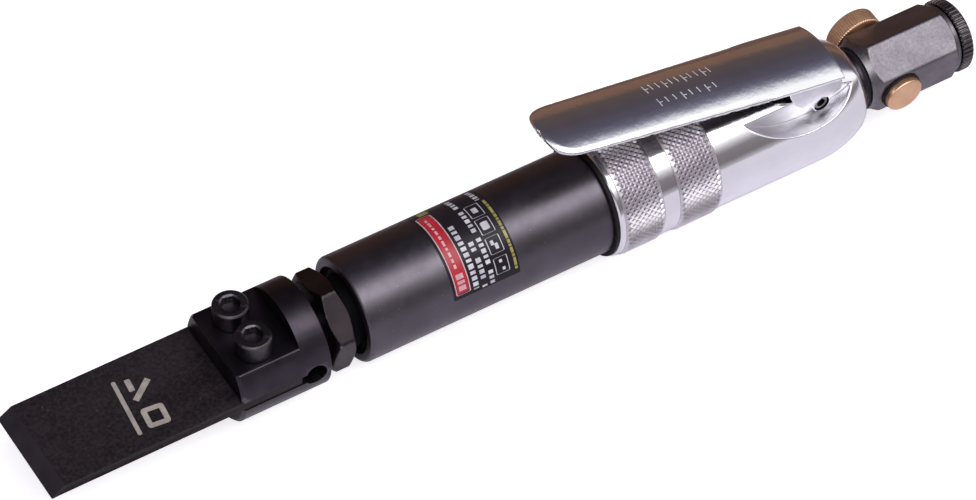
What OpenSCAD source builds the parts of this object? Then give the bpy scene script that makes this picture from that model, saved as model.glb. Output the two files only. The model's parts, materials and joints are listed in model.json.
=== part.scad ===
// In-line pneumatic scraper: a short-stroke air hammer that drives a flat blade.
// Millimetres. The tool lies along X: the blade points to -X, the air inlet faces +X,
// and the throttle lever is on top, +Z. The origin is the centre of the inlet mouth.

/* [Blade and holder] */
// Width of the scraper blade
blade_w = 30; // [20:0.5:30]
// Thickness of the scraper blade
blade_t = 3; // [2:0.25:3]
// Position of the cutting edge along X
blade_tip_x = -295; // [-330:1:-270]
// Length of the ground bevel at the cutting edge
bevel_len = 4; // [2:0.5:8]
// Radius of the round blade holder
holder_r = 15.4; // [15.2:0.1:16.5]
// Height of the flat that the clamp screws stand on
holder_flat_z = 9.5; // [8:0.1:11]
// Distance of each clamp screw from the centre line
screw_y = 6; // [5.5:0.25:8]
// Radius of the shank that the piston strikes
shank_r = 6; // [5:0.1:6.2]
// Inward travel of the blade holder
holder_travel = 2.5; // [1:0.1:2.6]

/* [Barrel] */
// Outer radius of the barrel
barrel_r = 15.3; // [14.5:0.1:16]
// Radius of the piston bore
bore_r = 7.5; // [7:0.1:8]
// Position of the barrel's front face
barrel_front_x = -200; // [-202:0.5:-199.5]
// Position of the shoulder where the barrel enters the handle
barrel_rear_x = -123.9; // [-126:0.1:-123.5]
// Length of the hammer piston
piston_len = 38; // [30:1:40]
// Width across the flats of the gland nut
nut_af = 25; // [22:0.5:26]
// Turn of the gland nut about the tool's axis, in degrees
nut_clock = 12; // [0:1:60]

/* [Handle] */
// Radius of the smooth part of the handle
handle_r = 17.1; // [16.6:0.1:17.3]
// Radius over the two knurled bands
knurl_r = 17.7; // [17.5:0.1:18]
// Position of the handle's front face
handle_front_x = -122.9; // [-123.2:0.1:-122.5]
// Position of the handle's rear face
handle_rear_x = -36.9; // [-37.2:0.1:-36.5]

/* [Throttle lever] */
// Thickness of the lever's sheet metal
sheet_t = 1.5; // [1:0.1:1.8]
// Half width of the lever at its rounded front end
lever_w_front = 9.4; // [8.5:0.1:10]
// Half width of the lever just ahead of its ears
lever_w_rear = 11; // [10.6:0.1:11.5]
// Height of the lever's ridge above the axis, over the hinge pin
lever_ridge_z = 21.9; // [21.5:0.1:23]
// Slope of the released lever, in degrees
lever_slope = 10.4; // [9:0.1:11]
// Radius of the hinge pin
pin_r = 2; // [1.5:0.1:2.2]

/* [Air inlet] */
// Width across the flats of the regulator's hexagon
reg_af = 20; // [19:0.5:21]
// Turn of the regulator about the tool's axis, in degrees
reg_clock = 3; // [-30:1:30]
// Minor radius of the 1/4 inch pipe thread
inlet_r = 5.72; // [5.5:0.01:5.8]
// Depth of the inlet thread
inlet_depth = 10; // [8:0.5:10]
// Radius of the knurled regulator knob
knob_r = 7.9; // [6:0.1:8.5]

/* [Hidden] */
$fn = 96;
// Running clearance, all round, between a moving round piece and its bore
run_gap = 0.05;
// Gap between the blade's faces and its slot
slot_gap = 0.05;
eps = 0.5;

// Blade holder
holder_front_x = -239;
holder_rear_x = -212.3;
holder_step_x = -220.2;
slot_end_x = -217;
slot_end_r = 3.25;
clamp_screw_x = -230.5;
clamp_screw_r = 3;
screw_head_r = 5;
screw_head_h = 6;
screw_tip_z = -11;
blade_rear_x = -221;
shank_rear_x = -184;
collar_x = -196.8;
collar_len = 2.5;
collar_r = 9;

// Barrel, from the front
front_cavity_r = 10;
front_cavity_end_x = -188;
bumper_x = collar_x + collar_len + holder_travel + 0.8;
nut_front_x = -209.5;
nut_rear_x = -203;
nut_spigot_end_x = -197;
spigot_r = 13;
barrel_end_x = -106;
piston_front_x = -181.3;
air_way_r = 1.2;
air_way_ring = 10.6;

// Valve block behind the barrel
case_end_x = -100;
cap_end_x = -90;
cavity_end_x = -88;
disc_pocket_r = 8.3;
disc_pocket_end_x = -98;
disc_r = 8;
disc_x = -99.9;
disc_t = 1.2;
port_count = 6;

// Lever hinge and throttle valve
pin_x = -53.9;
pin_z = 10.5;
web_half = 9.4;
ear_gap = 0.1;
ear_in = web_half + ear_gap;
ear_out = ear_in + sheet_t;
ear_foot_r = 2.8;
pocket_floor_z = 7;
pocket_r = 30;
pocket_x = -59.5;
lever_tip_x = -140;
lever_end_x = -47.2;
ear_front_x = -65.5;
lever_arch_r = 22.5;
stem_x = pin_x - 13.5;
stem_r = 2;
stem_top_z = 22.45;
seat_z = 5;
chamber_r = 5;
gallery_r = 3.2;
guide_start_z = 10.2;
poppet_r = 4.2;
poppet_t = 2.5;
face_t = 0.8;
tail_r = 1.8;
tail_len = 3.3;
plug_top_z = -10;
plug_bottom_z = -16.4;
spring_wire_r = 0.35;
spring_mean_r = 2.9;
spring_turns = 5;

// Inlet end
bushing_front_x = -50;
bushing_r = 7;
bushing_bore_r = 3.5;
flange_r = 9.6;
flange_end_x = -35.9;
reg_front_x = -34.6;
reg_hex_x = -32.6;
reg_hex_end_x = -5.5;
reg_neck_end_x = -4.3;
reg_round_r = 10;
reg_stub_r = 8.4;
ring_start_x = -3.9;
ring_r = 10.8;
ring_gap = 0.02;
reg_socket_r = 6;
reg_socket_end_x = -30.2;
spool_x = -25.4;
spool_bore_r = 4;
spool_r = spool_bore_r - run_gap;
spool_way_r = 2.6;
knob_face_y = 15.6;
knob_start_y = 10.4;
button_r = 5.6;
button_start_y = -10.7;
button_face_y = -12.7;
screen_r = 5.2;
screen_t = 1.4;

// ---- shared shapes ----

// A solid rod along X from x0 to x1.
module rod(x0, x1, r, r_end = -1) {
    translate([x0, 0, 0])
        rotate([0, 90, 0])
            cylinder(h = x1 - x0, r1 = r, r2 = r_end < 0 ? r : r_end);
}

// A hexagonal bar along X with two corners up and down before it is turned.
module hex_bar(x0, x1, across_flats) {
    translate([x0, 0, 0])
        rotate([0, 90, 0])
            cylinder(h = x1 - x0, r = across_flats / 2 / cos(30), $fn = 6);
}

// A body of revolution about X from a list of [radius, x] points.
module lathe(points) {
    rotate([0, 90, 0])
        rotate_extrude()
            polygon(points);
}

// A rubber ring around X whose cross-section is a circle of radius cord_r.
module ring_x(x, mean_r, cord_r) {
    translate([x, 0, 0])
        rotate([0, 90, 0])
            rotate_extrude()
                translate([mean_r, 0])
                    circle(r = cord_r, $fn = 48);
}

// A cylinder along Y, from y0 to y1.
module rod_y(y0, y1, r) {
    translate([0, y1, 0])
        rotate([90, 0, 0])
            cylinder(h = y1 - y0, r = r);
}

// A plate whose outline in the XZ plane is given, from y0 to y1.
module plate_y(y0, y1, outline) {
    translate([0, y1, 0])
        rotate([90, 0, 0])
            linear_extrude(height = y1 - y0)
                polygon(outline);
}

// ---- blade end ----

module scraper_blade() {
    color("dimgray")
    difference() {
        translate([0, blade_w / 2, 0])
            rotate([90, 0, 0])
                linear_extrude(height = blade_w)
                    polygon([
                        [blade_tip_x, -blade_t / 2],
                        [blade_rear_x, -blade_t / 2],
                        [blade_rear_x, blade_t / 2],
                        [blade_tip_x + bevel_len, blade_t / 2],
                        [blade_tip_x, -blade_t / 2 + 0.2]
                    ]);
        for (side = [-1, 1])
            translate([clamp_screw_x, side * screw_y, -blade_t])
                cylinder(h = 2 * blade_t, r = clamp_screw_r + 0.3);
    }
}

module blade_holder() {
    chamfer = 0.8;
    color("dimgray")
    difference() {
        union() {
            lathe([
                [0, holder_front_x],
                [holder_r - chamfer, holder_front_x],
                [holder_r, holder_front_x + chamfer],
                [holder_r, holder_rear_x - chamfer],
                [holder_r - chamfer, holder_rear_x],
                [0, holder_rear_x]
            ]);
            rod(holder_rear_x, shank_rear_x, shank_r);
        }
        // flat under the screw heads
        translate([holder_front_x - eps, -holder_r - eps, holder_flat_z])
            cube([holder_step_x - holder_front_x + eps, 2 * holder_r + 2 * eps, holder_r]);
        // chamfer at the front of the flat
        translate([holder_front_x, -holder_r - eps, holder_flat_z])
            rotate([0, 45, 0])
                translate([-chamfer / 2, 0, -chamfer / 2])
                    cube([chamfer, 2 * holder_r + 2 * eps, chamfer]);
        // slot for the blade, ending in a round relief hole
        translate([holder_front_x - eps, -holder_r - eps, -blade_t / 2 - slot_gap])
            cube([slot_end_x - holder_front_x + eps, 2 * holder_r + 2 * eps, blade_t + 2 * slot_gap]);
        translate([slot_end_x, 0, 0])
            rod_y(-holder_r - eps, holder_r + eps, slot_end_r);
        for (side = [-1, 1])
            translate([clamp_screw_x, side * screw_y, 0]) {
                cylinder(h = holder_r, r = clamp_screw_r + 0.2);
                translate([0, 0, screw_tip_z - 1])
                    cylinder(h = -screw_tip_z + 1, r = clamp_screw_r);
            }
        // groove for the collar that keeps the shank in the barrel
        difference() {
            rod(collar_x, collar_x + collar_len, shank_r + eps);
            rod(collar_x - eps, collar_x + collar_len + eps, shank_r - 0.8);
        }
    }
}

module clamp_screws() {
    socket_af = 5;
    socket_depth = 3;
    color("dimgray")
    for (side = [-1, 1])
        translate([clamp_screw_x, side * screw_y, 0])
            difference() {
                union() {
                    translate([0, 0, screw_tip_z])
                        cylinder(h = holder_flat_z - screw_tip_z, r = clamp_screw_r - 0.02);
                    translate([0, 0, holder_flat_z])
                        cylinder(h = screw_head_h - 0.6, r = screw_head_r);
                    translate([0, 0, holder_flat_z + screw_head_h - 0.6])
                        cylinder(h = 0.6, r1 = screw_head_r, r2 = screw_head_r - 0.6);
                }
                translate([0, 0, holder_flat_z + screw_head_h - socket_depth])
                    cylinder(h = socket_depth + eps, r = socket_af / 2 / cos(30), $fn = 6);
            }
}

module shank_collar() {
    color("gray")
    difference() {
        rod(collar_x, collar_x + collar_len, collar_r);
        rod(collar_x - eps, collar_x + collar_len + eps, shank_r - 0.8);
    }
}

// ---- barrel ----

module gland_nut() {
    corner_r = nut_af / 2 / cos(30);
    color("dimgray")
    difference() {
        union() {
            intersection() {
                rotate([nut_clock, 0, 0])
                    hex_bar(nut_front_x, nut_rear_x, nut_af);
                // both ends are chamfered round, as on a turned hexagon nut
                lathe([
                    [0, nut_front_x],
                    [nut_af / 2 - 0.2, nut_front_x],
                    [corner_r + 0.1, nut_front_x + 1.5],
                    [corner_r + 0.1, nut_rear_x - 1.5],
                    [nut_af / 2 - 0.2, nut_rear_x],
                    [0, nut_rear_x]
                ]);
            }
            rod(nut_rear_x, nut_spigot_end_x, front_cavity_r);
        }
        rod(nut_front_x - eps, nut_spigot_end_x + eps, shank_r + run_gap);
        rod(nut_front_x + 2.5, nut_front_x + 4.5, shank_r + 1.6);
    }
}

module gland_o_ring() {
    color("black")
        ring_x(nut_front_x + 3.5, shank_r + run_gap + 0.76, 0.75);
}

module front_bumper() {
    color("orange")
    difference() {
        rod(bumper_x, front_cavity_end_x, front_cavity_r);
        rod(bumper_x - eps, front_cavity_end_x + eps, shank_r + 0.25);
    }
}

module barrel() {
    edge = 1.2;
    exhaust_x = -117;
    color("black")
    difference() {
        lathe([
            [0, barrel_front_x],
            [barrel_r - edge, barrel_front_x],
            [barrel_r - 0.35, barrel_front_x + 0.35],
            [barrel_r, barrel_front_x + edge],
            [barrel_r, barrel_rear_x],
            [spigot_r, barrel_rear_x],
            [spigot_r, barrel_end_x],
            [0, barrel_end_x]
        ]);
        rod(barrel_front_x - eps, front_cavity_end_x, front_cavity_r);
        rod(front_cavity_end_x - eps, barrel_end_x + eps, bore_r);
        // turned recess around the gland nut
        rod(barrel_front_x - eps, barrel_front_x + 1.2, front_cavity_r + 2.6, front_cavity_r + 1.4);
        // air ways to the front of the bore, drilled from the rear face
        for (turn = [60, 180, 300])
            rotate([turn, 0, 0])
                translate([0, 0, air_way_ring])
                    rod(front_cavity_end_x + 4, barrel_end_x + eps, air_way_r);
        // exhaust ports
        for (turn = [0, 120, 240])
            rotate([turn, 0, 0])
                translate([exhaust_x, 0, bore_r - 1])
                    cylinder(h = spigot_r, r = 1.5);
        // hole for the dowel that lines up the valve block
        translate([0, air_way_ring, 0])
            rod(barrel_end_x - 4, barrel_end_x + eps, 1);
    }
}

module hammer_piston() {
    rear_x = piston_front_x + piston_len;
    r = bore_r - run_gap;
    color("silver")
        lathe([
            [0, piston_front_x],
            [r - 1, piston_front_x],
            [r, piston_front_x + 1],
            [r, piston_front_x + 12],
            [r - 0.6, piston_front_x + 12.6],
            [r - 0.6, piston_front_x + 17.4],
            [r, piston_front_x + 18],
            [r, rear_x - 0.8],
            [r - 0.8, rear_x],
            [0, rear_x]
        ]);
}

module exhaust_ring() {
    color("black")
    difference() {
        rod(barrel_rear_x, handle_front_x, handle_r - 0.5);
        rod(barrel_rear_x - eps, handle_front_x + eps, spigot_r);
        // notches that let the exhaust air out
        for (i = [0 : 7])
            rotate([22.5 + 45 * i, 0, 0])
                translate([handle_front_x - 0.5, -1.5, spigot_r - 1])
                    cube([2, 3, 2.2]);
    }
}

// ---- valve block ----

module valve_case() {
    color("silver")
    difference() {
        rod(barrel_end_x, case_end_x, spigot_r);
        rod(barrel_end_x - eps, case_end_x + eps, 3);
        for (i = [0 : port_count - 1])
            rotate([360 / port_count * i, 0, 0])
                translate([0, 0, air_way_ring])
                    rod(barrel_end_x - eps, case_end_x + eps, air_way_r);
        translate([0, air_way_ring, 0])
            rod(barrel_end_x - eps, case_end_x + eps, 1);
    }
}

module valve_disc() {
    color("lightgray")
    difference() {
        rod(disc_x, disc_x + disc_t, disc_r);
        for (i = [0 : 3])
            rotate([45 + 90 * i, 0, 0])
                translate([0, 0, 5.6])
                    rod(disc_x - eps, disc_x + disc_t + eps, 1.1);
    }
}

module valve_cap() {
    color("silver")
    difference() {
        rod(case_end_x, cap_end_x, spigot_r);
        rod(case_end_x - eps, disc_pocket_end_x, disc_pocket_r);
        for (i = [0 : port_count - 1])
            rotate([360 / port_count * i, 0, 0])
                translate([0, 0, 5.6])
                    rod(case_end_x - eps, cap_end_x + eps, air_way_r);
        translate([0, air_way_ring, 0])
            rod(case_end_x - eps, case_end_x + 4, 1);
    }
}

module valve_o_ring() {
    color("black")
        ring_x((cap_end_x + cavity_end_x) / 2, 11.5, (cavity_end_x - cap_end_x) / 2);
}

module valve_dowel() {
    color("silver")
        translate([0, air_way_ring, 0])
            rod(barrel_end_x - 3.8, case_end_x + 3.8, 1);
}

// ---- handle ----

module handle_housing() {
    long_arc_r = 30;
    arc_start_x = -54;
    arc_end_x = -40.5;
    nose = handle_rear_x - arc_end_x;
    shoulder_r = handle_r - long_arc_r + sqrt(pow(long_arc_r, 2) - pow(arc_end_x - arc_start_x, 2));
    steps = 6;
    color("lightgray")
    difference() {
        lathe(concat(
            [
                [0, handle_front_x],
                [handle_r - 0.8, handle_front_x],
                [handle_r, handle_front_x + 0.6],
                [handle_r, -121.6],
                [knurl_r, -121.2],
                [knurl_r, -108.7],
                [handle_r, -108.3],
                [handle_r, -104.1],
                [knurl_r, -103.7],
                [knurl_r, -90.2],
                [handle_r, -89.8]
            ],
            [for (i = [0 : steps])
                let (x = arc_start_x + (arc_end_x - arc_start_x) * i / steps)
                [handle_r - long_arc_r + sqrt(pow(long_arc_r, 2) - pow(x - arc_start_x, 2)), x]],
            [for (i = [1 : steps])
                let (d = nose * i / steps)
                [shoulder_r - 0.5 * d - 0.19 * d * d, arc_end_x + d]],
            [[0, handle_rear_x]]
        ));
        // bore for the barrel's spigot and the valve block
        rod(handle_front_x - eps, cavity_end_x, spigot_r);
        // annular exhaust space
        rod(handle_front_x - eps, -113, spigot_r + 1.3);
        // inlet thread and axial air way
        rod(bushing_front_x - 0.5, handle_rear_x + eps, bushing_r);
        rod(stem_x, bushing_front_x, bushing_bore_r);
        // way from the valve to the valve block
        translate([0, 0, guide_start_z - 2.6])
            rod(cavity_end_x - eps, stem_x, 2.4);
        translate([stem_x, 0, 0]) {
            translate([0, 0, -handle_r - eps])
                cylinder(h = seat_z + handle_r + eps, r = chamber_r);
            translate([0, 0, seat_z - eps])
                cylinder(h = guide_start_z - seat_z + eps, r = gallery_r);
            cylinder(h = handle_r + eps, r = stem_r + run_gap);
            translate([0, 0, 12.5])
                cylinder(h = 1.8, r = stem_r + 1.5);
        }
        // milled pockets for the lever's ears
        for (side = [-1, 1])
            translate([pocket_x, 0, pocket_floor_z + pocket_r])
                rod_y(side > 0 ? web_half : -handle_r - 2, side > 0 ? handle_r + 2 : -web_half, pocket_r);
        translate([pin_x, 0, pin_z])
            rod_y(-web_half - eps, web_half + eps, pin_r);
    }
}

// ---- throttle lever and its valve ----

// Half width of the lever at a distance along X.
function lever_half(x) =
    lever_w_front + (lever_w_rear - lever_w_front) * (x - lever_tip_x) / (ear_front_x - lever_tip_x);

module lever_plan() {
    nose = 7.5;
    steps = 10;
    half = [
        for (i = [0 : steps])
            let (a = 90 * i / steps)
            [lever_tip_x + nose - nose * cos(a), lever_half(lever_tip_x + nose) * pow(sin(a), 0.75)]
    ];
    rear = [
        [ear_front_x - 9, lever_half(ear_front_x - 9)],
        [ear_front_x - 1, ear_out],
        [lever_end_x, ear_out]
    ];
    top = concat(half, rear);
    polygon(concat(top, [for (i = [len(top) - 1 : -1 : 1]) [top[i][0], -top[i][1]]]));
}

module throttle_lever() {
    reach = lever_end_x - lever_tip_x + 20;
    color("lightgray")
    difference() {
        union() {
            // arched sheet: a shell whose axis follows the slope of the lever
            intersection() {
                translate([0, 0, -10])
                    linear_extrude(height = 80)
                        lever_plan();
                translate([pin_x, 0, lever_ridge_z])
                    rotate([0, lever_slope, 0])
                        translate([0, 0, -lever_arch_r])
                            difference() {
                                rod(-reach, 20, lever_arch_r);
                                rod(-reach - eps, 20 + eps, lever_arch_r - sheet_t);
                            }
                translate([lever_tip_x - 5, -20, 10])
                    cube([120, 40, 60]);
            }
            // ears that straddle the web of the handle
            for (side = [-1, 1])
                plate_y(side > 0 ? ear_in : -ear_out, side > 0 ? ear_out : -ear_in, [
                    [ear_front_x, lever_ridge_z - 1.4],
                    [ear_front_x + 1.6, 15.4],
                    [pin_x - ear_foot_r - 0.9, pin_z - 0.3],
                    [pin_x - 2.1, pin_z - 1.85],
                    [pin_x, pin_z],
                    [pin_x + ear_foot_r * 0.94, pin_z - 0.8],
                    [lever_end_x, 13.6],
                    [lever_end_x, lever_ridge_z - 4.4]
                ]);
            for (side = [-1, 1])
                translate([pin_x, 0, pin_z])
                    rod_y(side > 0 ? ear_in : -ear_out, side > 0 ? ear_out : -ear_in, ear_foot_r);
        }
        translate([pin_x, 0, pin_z])
            rod_y(-ear_out - eps, ear_out + eps, pin_r + run_gap);
    }
}

module lever_pin() {
    color("gray")
    translate([pin_x, 0, pin_z])
        difference() {
            rod_y(-ear_out + 0.5, ear_out - 0.5, pin_r);
            rod_y(-ear_out, ear_out, pin_r - 0.7);
            // slit of the rolled spring pin
            translate([-0.25, -ear_out, 0])
                cube([0.5, 2 * ear_out, pin_r + eps]);
        }
}

module throttle_stem() {
    color("silver")
    translate([stem_x, 0, 0])
        union() {
            translate([0, 0, stem_top_z - 0.6])
                cylinder(h = 0.6, r1 = stem_r, r2 = stem_r - 0.6);
            translate([0, 0, seat_z - face_t])
                cylinder(h = stem_top_z - 0.6 - seat_z + face_t, r = stem_r);
            translate([0, 0, seat_z - face_t - poppet_t])
                cylinder(h = poppet_t, r = poppet_r);
            translate([0, 0, seat_z - face_t - poppet_t - tail_len])
                cylinder(h = tail_len, r = tail_r);
        }
}

module stem_face_seal() {
    color("black")
    translate([stem_x, 0, seat_z - face_t])
        difference() {
            cylinder(h = face_t, r = poppet_r);
            translate([0, 0, -eps])
                cylinder(h = face_t + 2 * eps, r = stem_r);
        }
}

module stem_o_ring() {
    color("black")
    translate([stem_x, 0, 13.4])
        rotate_extrude()
            translate([stem_r + run_gap + 0.71, 0])
                circle(r = 0.7, $fn = 48);
}

// One point on the surface of the spring wire.
function coil_point(t, around, pitch, z0) =
    let (
        turn = 360 * t,
        r = spring_mean_r + spring_wire_r * cos(around)
    )
    [r * cos(turn), r * sin(turn), z0 + pitch * t + spring_wire_r * sin(around)];

module throttle_spring() {
    sides = 8;
    per_turn = 18;
    bottom = plug_top_z + spring_wire_r + 0.02;
    top = seat_z - face_t - poppet_t - spring_wire_r - 0.02;
    pitch = (top - bottom) / spring_turns;
    rings = spring_turns * per_turn;
    points = [
        for (i = [0 : rings])
            for (j = [0 : sides - 1])
                coil_point(i / per_turn, 360 * j / sides, pitch, bottom)
    ];
    walls = [
        for (i = [0 : rings - 1])
            for (j = [0 : sides - 1])
                [
                    i * sides + j,
                    i * sides + (j + 1) % sides,
                    (i + 1) * sides + (j + 1) % sides,
                    (i + 1) * sides + j
                ]
    ];
    first_cap = [for (j = [sides - 1 : -1 : 0]) j];
    last_cap = [for (j = [0 : sides - 1]) rings * sides + j];
    color("silver")
    translate([stem_x, 0, 0])
        polyhedron(points = points, faces = concat([first_cap], walls, [last_cap]));
}

module throttle_plug() {
    slot_w = 1.6;
    color("silver")
    translate([stem_x, 0, 0])
        difference() {
            translate([0, 0, plug_bottom_z])
                cylinder(h = plug_top_z - plug_bottom_z, r = chamber_r);
            // groove for the seal ring
            difference() {
                translate([0, 0, plug_top_z - 2.8])
                    cylinder(h = 1.8, r = chamber_r + eps);
                translate([0, 0, plug_top_z - 3])
                    cylinder(h = 2.2, r = chamber_r - 1.3);
            }
            translate([-chamber_r - eps, -slot_w / 2, plug_bottom_z - eps])
                cube([2 * chamber_r + 2 * eps, slot_w, 1.6 + eps]);
        }
}

module plug_o_ring() {
    color("black")
    translate([stem_x, 0, plug_top_z - 1.9])
        rotate_extrude()
            translate([chamber_r - 0.66, 0])
                circle(r = 0.64, $fn = 48);
}

// ---- air inlet and regulator ----

module inlet_bushing() {
    color("dimgray")
    difference() {
        union() {
            rod(bushing_front_x, handle_rear_x, bushing_r);
            lathe([
                [0, handle_rear_x],
                [flange_r - 0.4, handle_rear_x],
                [flange_r, handle_rear_x + 0.4],
                [flange_r, flange_end_x],
                [0, flange_end_x]
            ]);
            rod(flange_end_x, reg_socket_end_x - 0.3, reg_socket_r);
        }
        rod(bushing_front_x - eps, reg_socket_end_x + eps, bushing_bore_r);
    }
}

module bushing_washer() {
    color("black")
    difference() {
        rod(flange_end_x, reg_front_x, flange_r - 0.5);
        rod(flange_end_x - eps, reg_front_x + eps, reg_socket_r);
    }
}

module regulator_body() {
    corner_r = reg_af / 2 / cos(30);
    color("dimgray")
    rotate([reg_clock, 0, 0])
        difference() {
            union() {
                intersection() {
                    hex_bar(reg_hex_x, reg_hex_end_x, reg_af);
                    lathe([
                        [0, reg_hex_x],
                        [reg_round_r, reg_hex_x],
                        [corner_r + 0.1, reg_hex_x + 1.4],
                        [corner_r + 0.1, reg_hex_end_x - 1.4],
                        [reg_round_r, reg_hex_end_x],
                        [0, reg_hex_end_x]
                    ]);
                }
                rod(reg_front_x, reg_hex_x, reg_round_r - 0.4, reg_round_r);
                rod(reg_hex_end_x, reg_neck_end_x, reg_round_r);
                rod(reg_neck_end_x, 0, reg_stub_r);
            }
            rod(-inlet_depth, eps, inlet_r);
            rod(-inlet_depth - screen_t, -inlet_depth + eps, screen_r);
            rod(reg_front_x - eps, -inlet_depth, 3.6);
            rod(reg_front_x - eps, reg_socket_end_x, reg_socket_r);
            translate([spool_x, 0, 0])
                rod_y(-reg_af, reg_af, spool_bore_r);
        }
}

module regulator_spool() {
    flutes = 40;
    color("darkgoldenrod")
    rotate([reg_clock, 0, 0])
        translate([spool_x, 0, 0])
            difference() {
                union() {
                    rod_y(button_start_y, knob_start_y, spool_r);
                    rod_y(knob_start_y, knob_face_y, knob_r);
                }
                // the cross way that meters the air
                rod(-knob_r, knob_r, spool_way_r);
                // grooves for the two seal rings
                for (y = [-6.6, 6.6])
                    difference() {
                        translate([0, y, 0])
                            rod_y(-0.8, 0.8, spool_r + eps);
                        translate([0, y, 0])
                            rod_y(-1, 1, spool_r - 1.2);
                    }
                // straight knurl on the knob
                for (i = [0 : flutes - 1])
                    rotate([0, 360 / flutes * i, 0])
                        translate([knob_r + 0.12, 0, 0])
                            rod_y(knob_start_y + 0.8, knob_face_y - 0.8, 0.35);
                // threaded hole for the button
                rod_y(button_start_y - eps, button_start_y + 4, 1.5);
            }
}

module spool_button() {
    color("darkgoldenrod")
    rotate([reg_clock, 0, 0])
        translate([spool_x, 0, 0])
            union() {
                rod_y(button_face_y + 0.7, button_start_y, button_r);
                translate([0, button_face_y + 0.7, 0])
                    rotate([90, 0, 0])
                        cylinder(h = 0.7, r1 = button_r, r2 = button_r - 0.7);
                rod_y(button_start_y, button_start_y + 3.8, 1.48);
            }
}

module button_washer() {
    color("black")
    rotate([reg_clock, 0, 0])
        translate([spool_x, 0, 0])
            difference() {
                rod_y(button_start_y, -reg_af / 2 - run_gap, button_r + 0.5);
                rod_y(button_start_y - eps, -reg_af / 2 + eps, spool_r);
            }
}

module spool_o_rings() {
    color("black")
    rotate([reg_clock, 0, 0])
        for (y = [-6.6, 6.6])
            translate([spool_x, y, 0])
                rotate([90, 0, 0])
                    rotate_extrude()
                        translate([spool_r - 0.59, 0])
                            circle(r = 0.58, $fn = 48);
}

module inlet_ring() {
    ribs = 48;
    rib_depth = 0.5;
    color("dimgray")
    difference() {
        lathe([
            [reg_stub_r + ring_gap, ring_start_x],
            [ring_r - 0.4, ring_start_x],
            [ring_r, ring_start_x + 0.4],
            [ring_r, -1.1],
            [ring_r - 1.1, 0],
            [reg_stub_r + ring_gap, 0]
        ]);
        for (i = [0 : ribs - 1])
            rotate([360 / ribs * i, 0, 0])
                translate([ring_start_x - eps, -0.3, ring_r - rib_depth])
                    cube([-ring_start_x + 2 * eps, 0.6, 2]);
    }
}

module inlet_screen() {
    color("gray")
    difference() {
        rod(-inlet_depth - screen_t, -inlet_depth, screen_r);
        for (ix = [-3 : 3])
            for (iy = [-3 : 3])
                if (norm([ix, iy]) < 3.4)
                    translate([0, ix * 1.3, iy * 1.3])
                        rod(-inlet_depth - screen_t - eps, -inlet_depth + eps, 0.45);
    }
}

scraper_blade();
blade_holder();
clamp_screws();
shank_collar();
gland_nut();
gland_o_ring();
front_bumper();
barrel();
hammer_piston();
exhaust_ring();
handle_housing();
valve_case();
valve_disc();
valve_cap();
valve_o_ring();
valve_dowel();
throttle_lever();
lever_pin();
throttle_stem();
stem_face_seal();
stem_o_ring();
throttle_spring();
throttle_plug();
plug_o_ring();
inlet_bushing();
bushing_washer();
regulator_body();
regulator_spool();
spool_button();
button_washer();
spool_o_rings();
inlet_ring();
inlet_screen();
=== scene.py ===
"""Looks for an in-line pneumatic scraper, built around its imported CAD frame.

Lengths are in millimetres until a mesh is made. The tool lies along X, with the blade at -X and
the throttle lever on top. An angle round the tool's axis starts at +Z and grows towards -Y.
"""

import json
import math

import bmesh
import bpy
import numpy as np
from mathutils import Matrix, Vector


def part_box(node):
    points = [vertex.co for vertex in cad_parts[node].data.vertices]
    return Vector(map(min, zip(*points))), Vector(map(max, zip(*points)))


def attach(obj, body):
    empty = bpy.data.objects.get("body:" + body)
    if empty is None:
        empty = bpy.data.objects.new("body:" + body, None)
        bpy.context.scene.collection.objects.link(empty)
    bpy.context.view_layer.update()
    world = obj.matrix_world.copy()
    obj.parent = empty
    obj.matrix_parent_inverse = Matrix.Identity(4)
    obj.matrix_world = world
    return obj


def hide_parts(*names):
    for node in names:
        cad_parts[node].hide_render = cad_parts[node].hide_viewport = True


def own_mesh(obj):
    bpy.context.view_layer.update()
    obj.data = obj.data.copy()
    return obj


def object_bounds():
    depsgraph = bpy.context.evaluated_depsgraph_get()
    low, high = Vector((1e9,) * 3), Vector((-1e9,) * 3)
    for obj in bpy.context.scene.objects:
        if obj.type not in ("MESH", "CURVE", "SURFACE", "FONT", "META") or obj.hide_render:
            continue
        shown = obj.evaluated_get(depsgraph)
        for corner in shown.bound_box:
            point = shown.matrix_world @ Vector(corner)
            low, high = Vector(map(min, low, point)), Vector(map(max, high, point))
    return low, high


MM = 0.001
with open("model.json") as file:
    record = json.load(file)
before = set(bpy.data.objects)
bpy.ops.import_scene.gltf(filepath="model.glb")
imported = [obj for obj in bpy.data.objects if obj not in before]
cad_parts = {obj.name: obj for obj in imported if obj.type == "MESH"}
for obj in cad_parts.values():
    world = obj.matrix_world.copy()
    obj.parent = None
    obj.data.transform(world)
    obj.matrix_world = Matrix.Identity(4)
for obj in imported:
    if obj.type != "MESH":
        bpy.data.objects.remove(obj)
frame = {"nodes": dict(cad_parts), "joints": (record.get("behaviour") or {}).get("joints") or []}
cad_low, cad_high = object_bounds()
joints = {joint["name"]: joint for joint in frame["joints"]}


def span(node):
    """Lowest and highest corner of a CAD node, in millimetres."""
    low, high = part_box(node)
    return np.array(low) / MM, np.array(high) / MM


# ---------------------------------------------------------------- mesh kit

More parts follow.
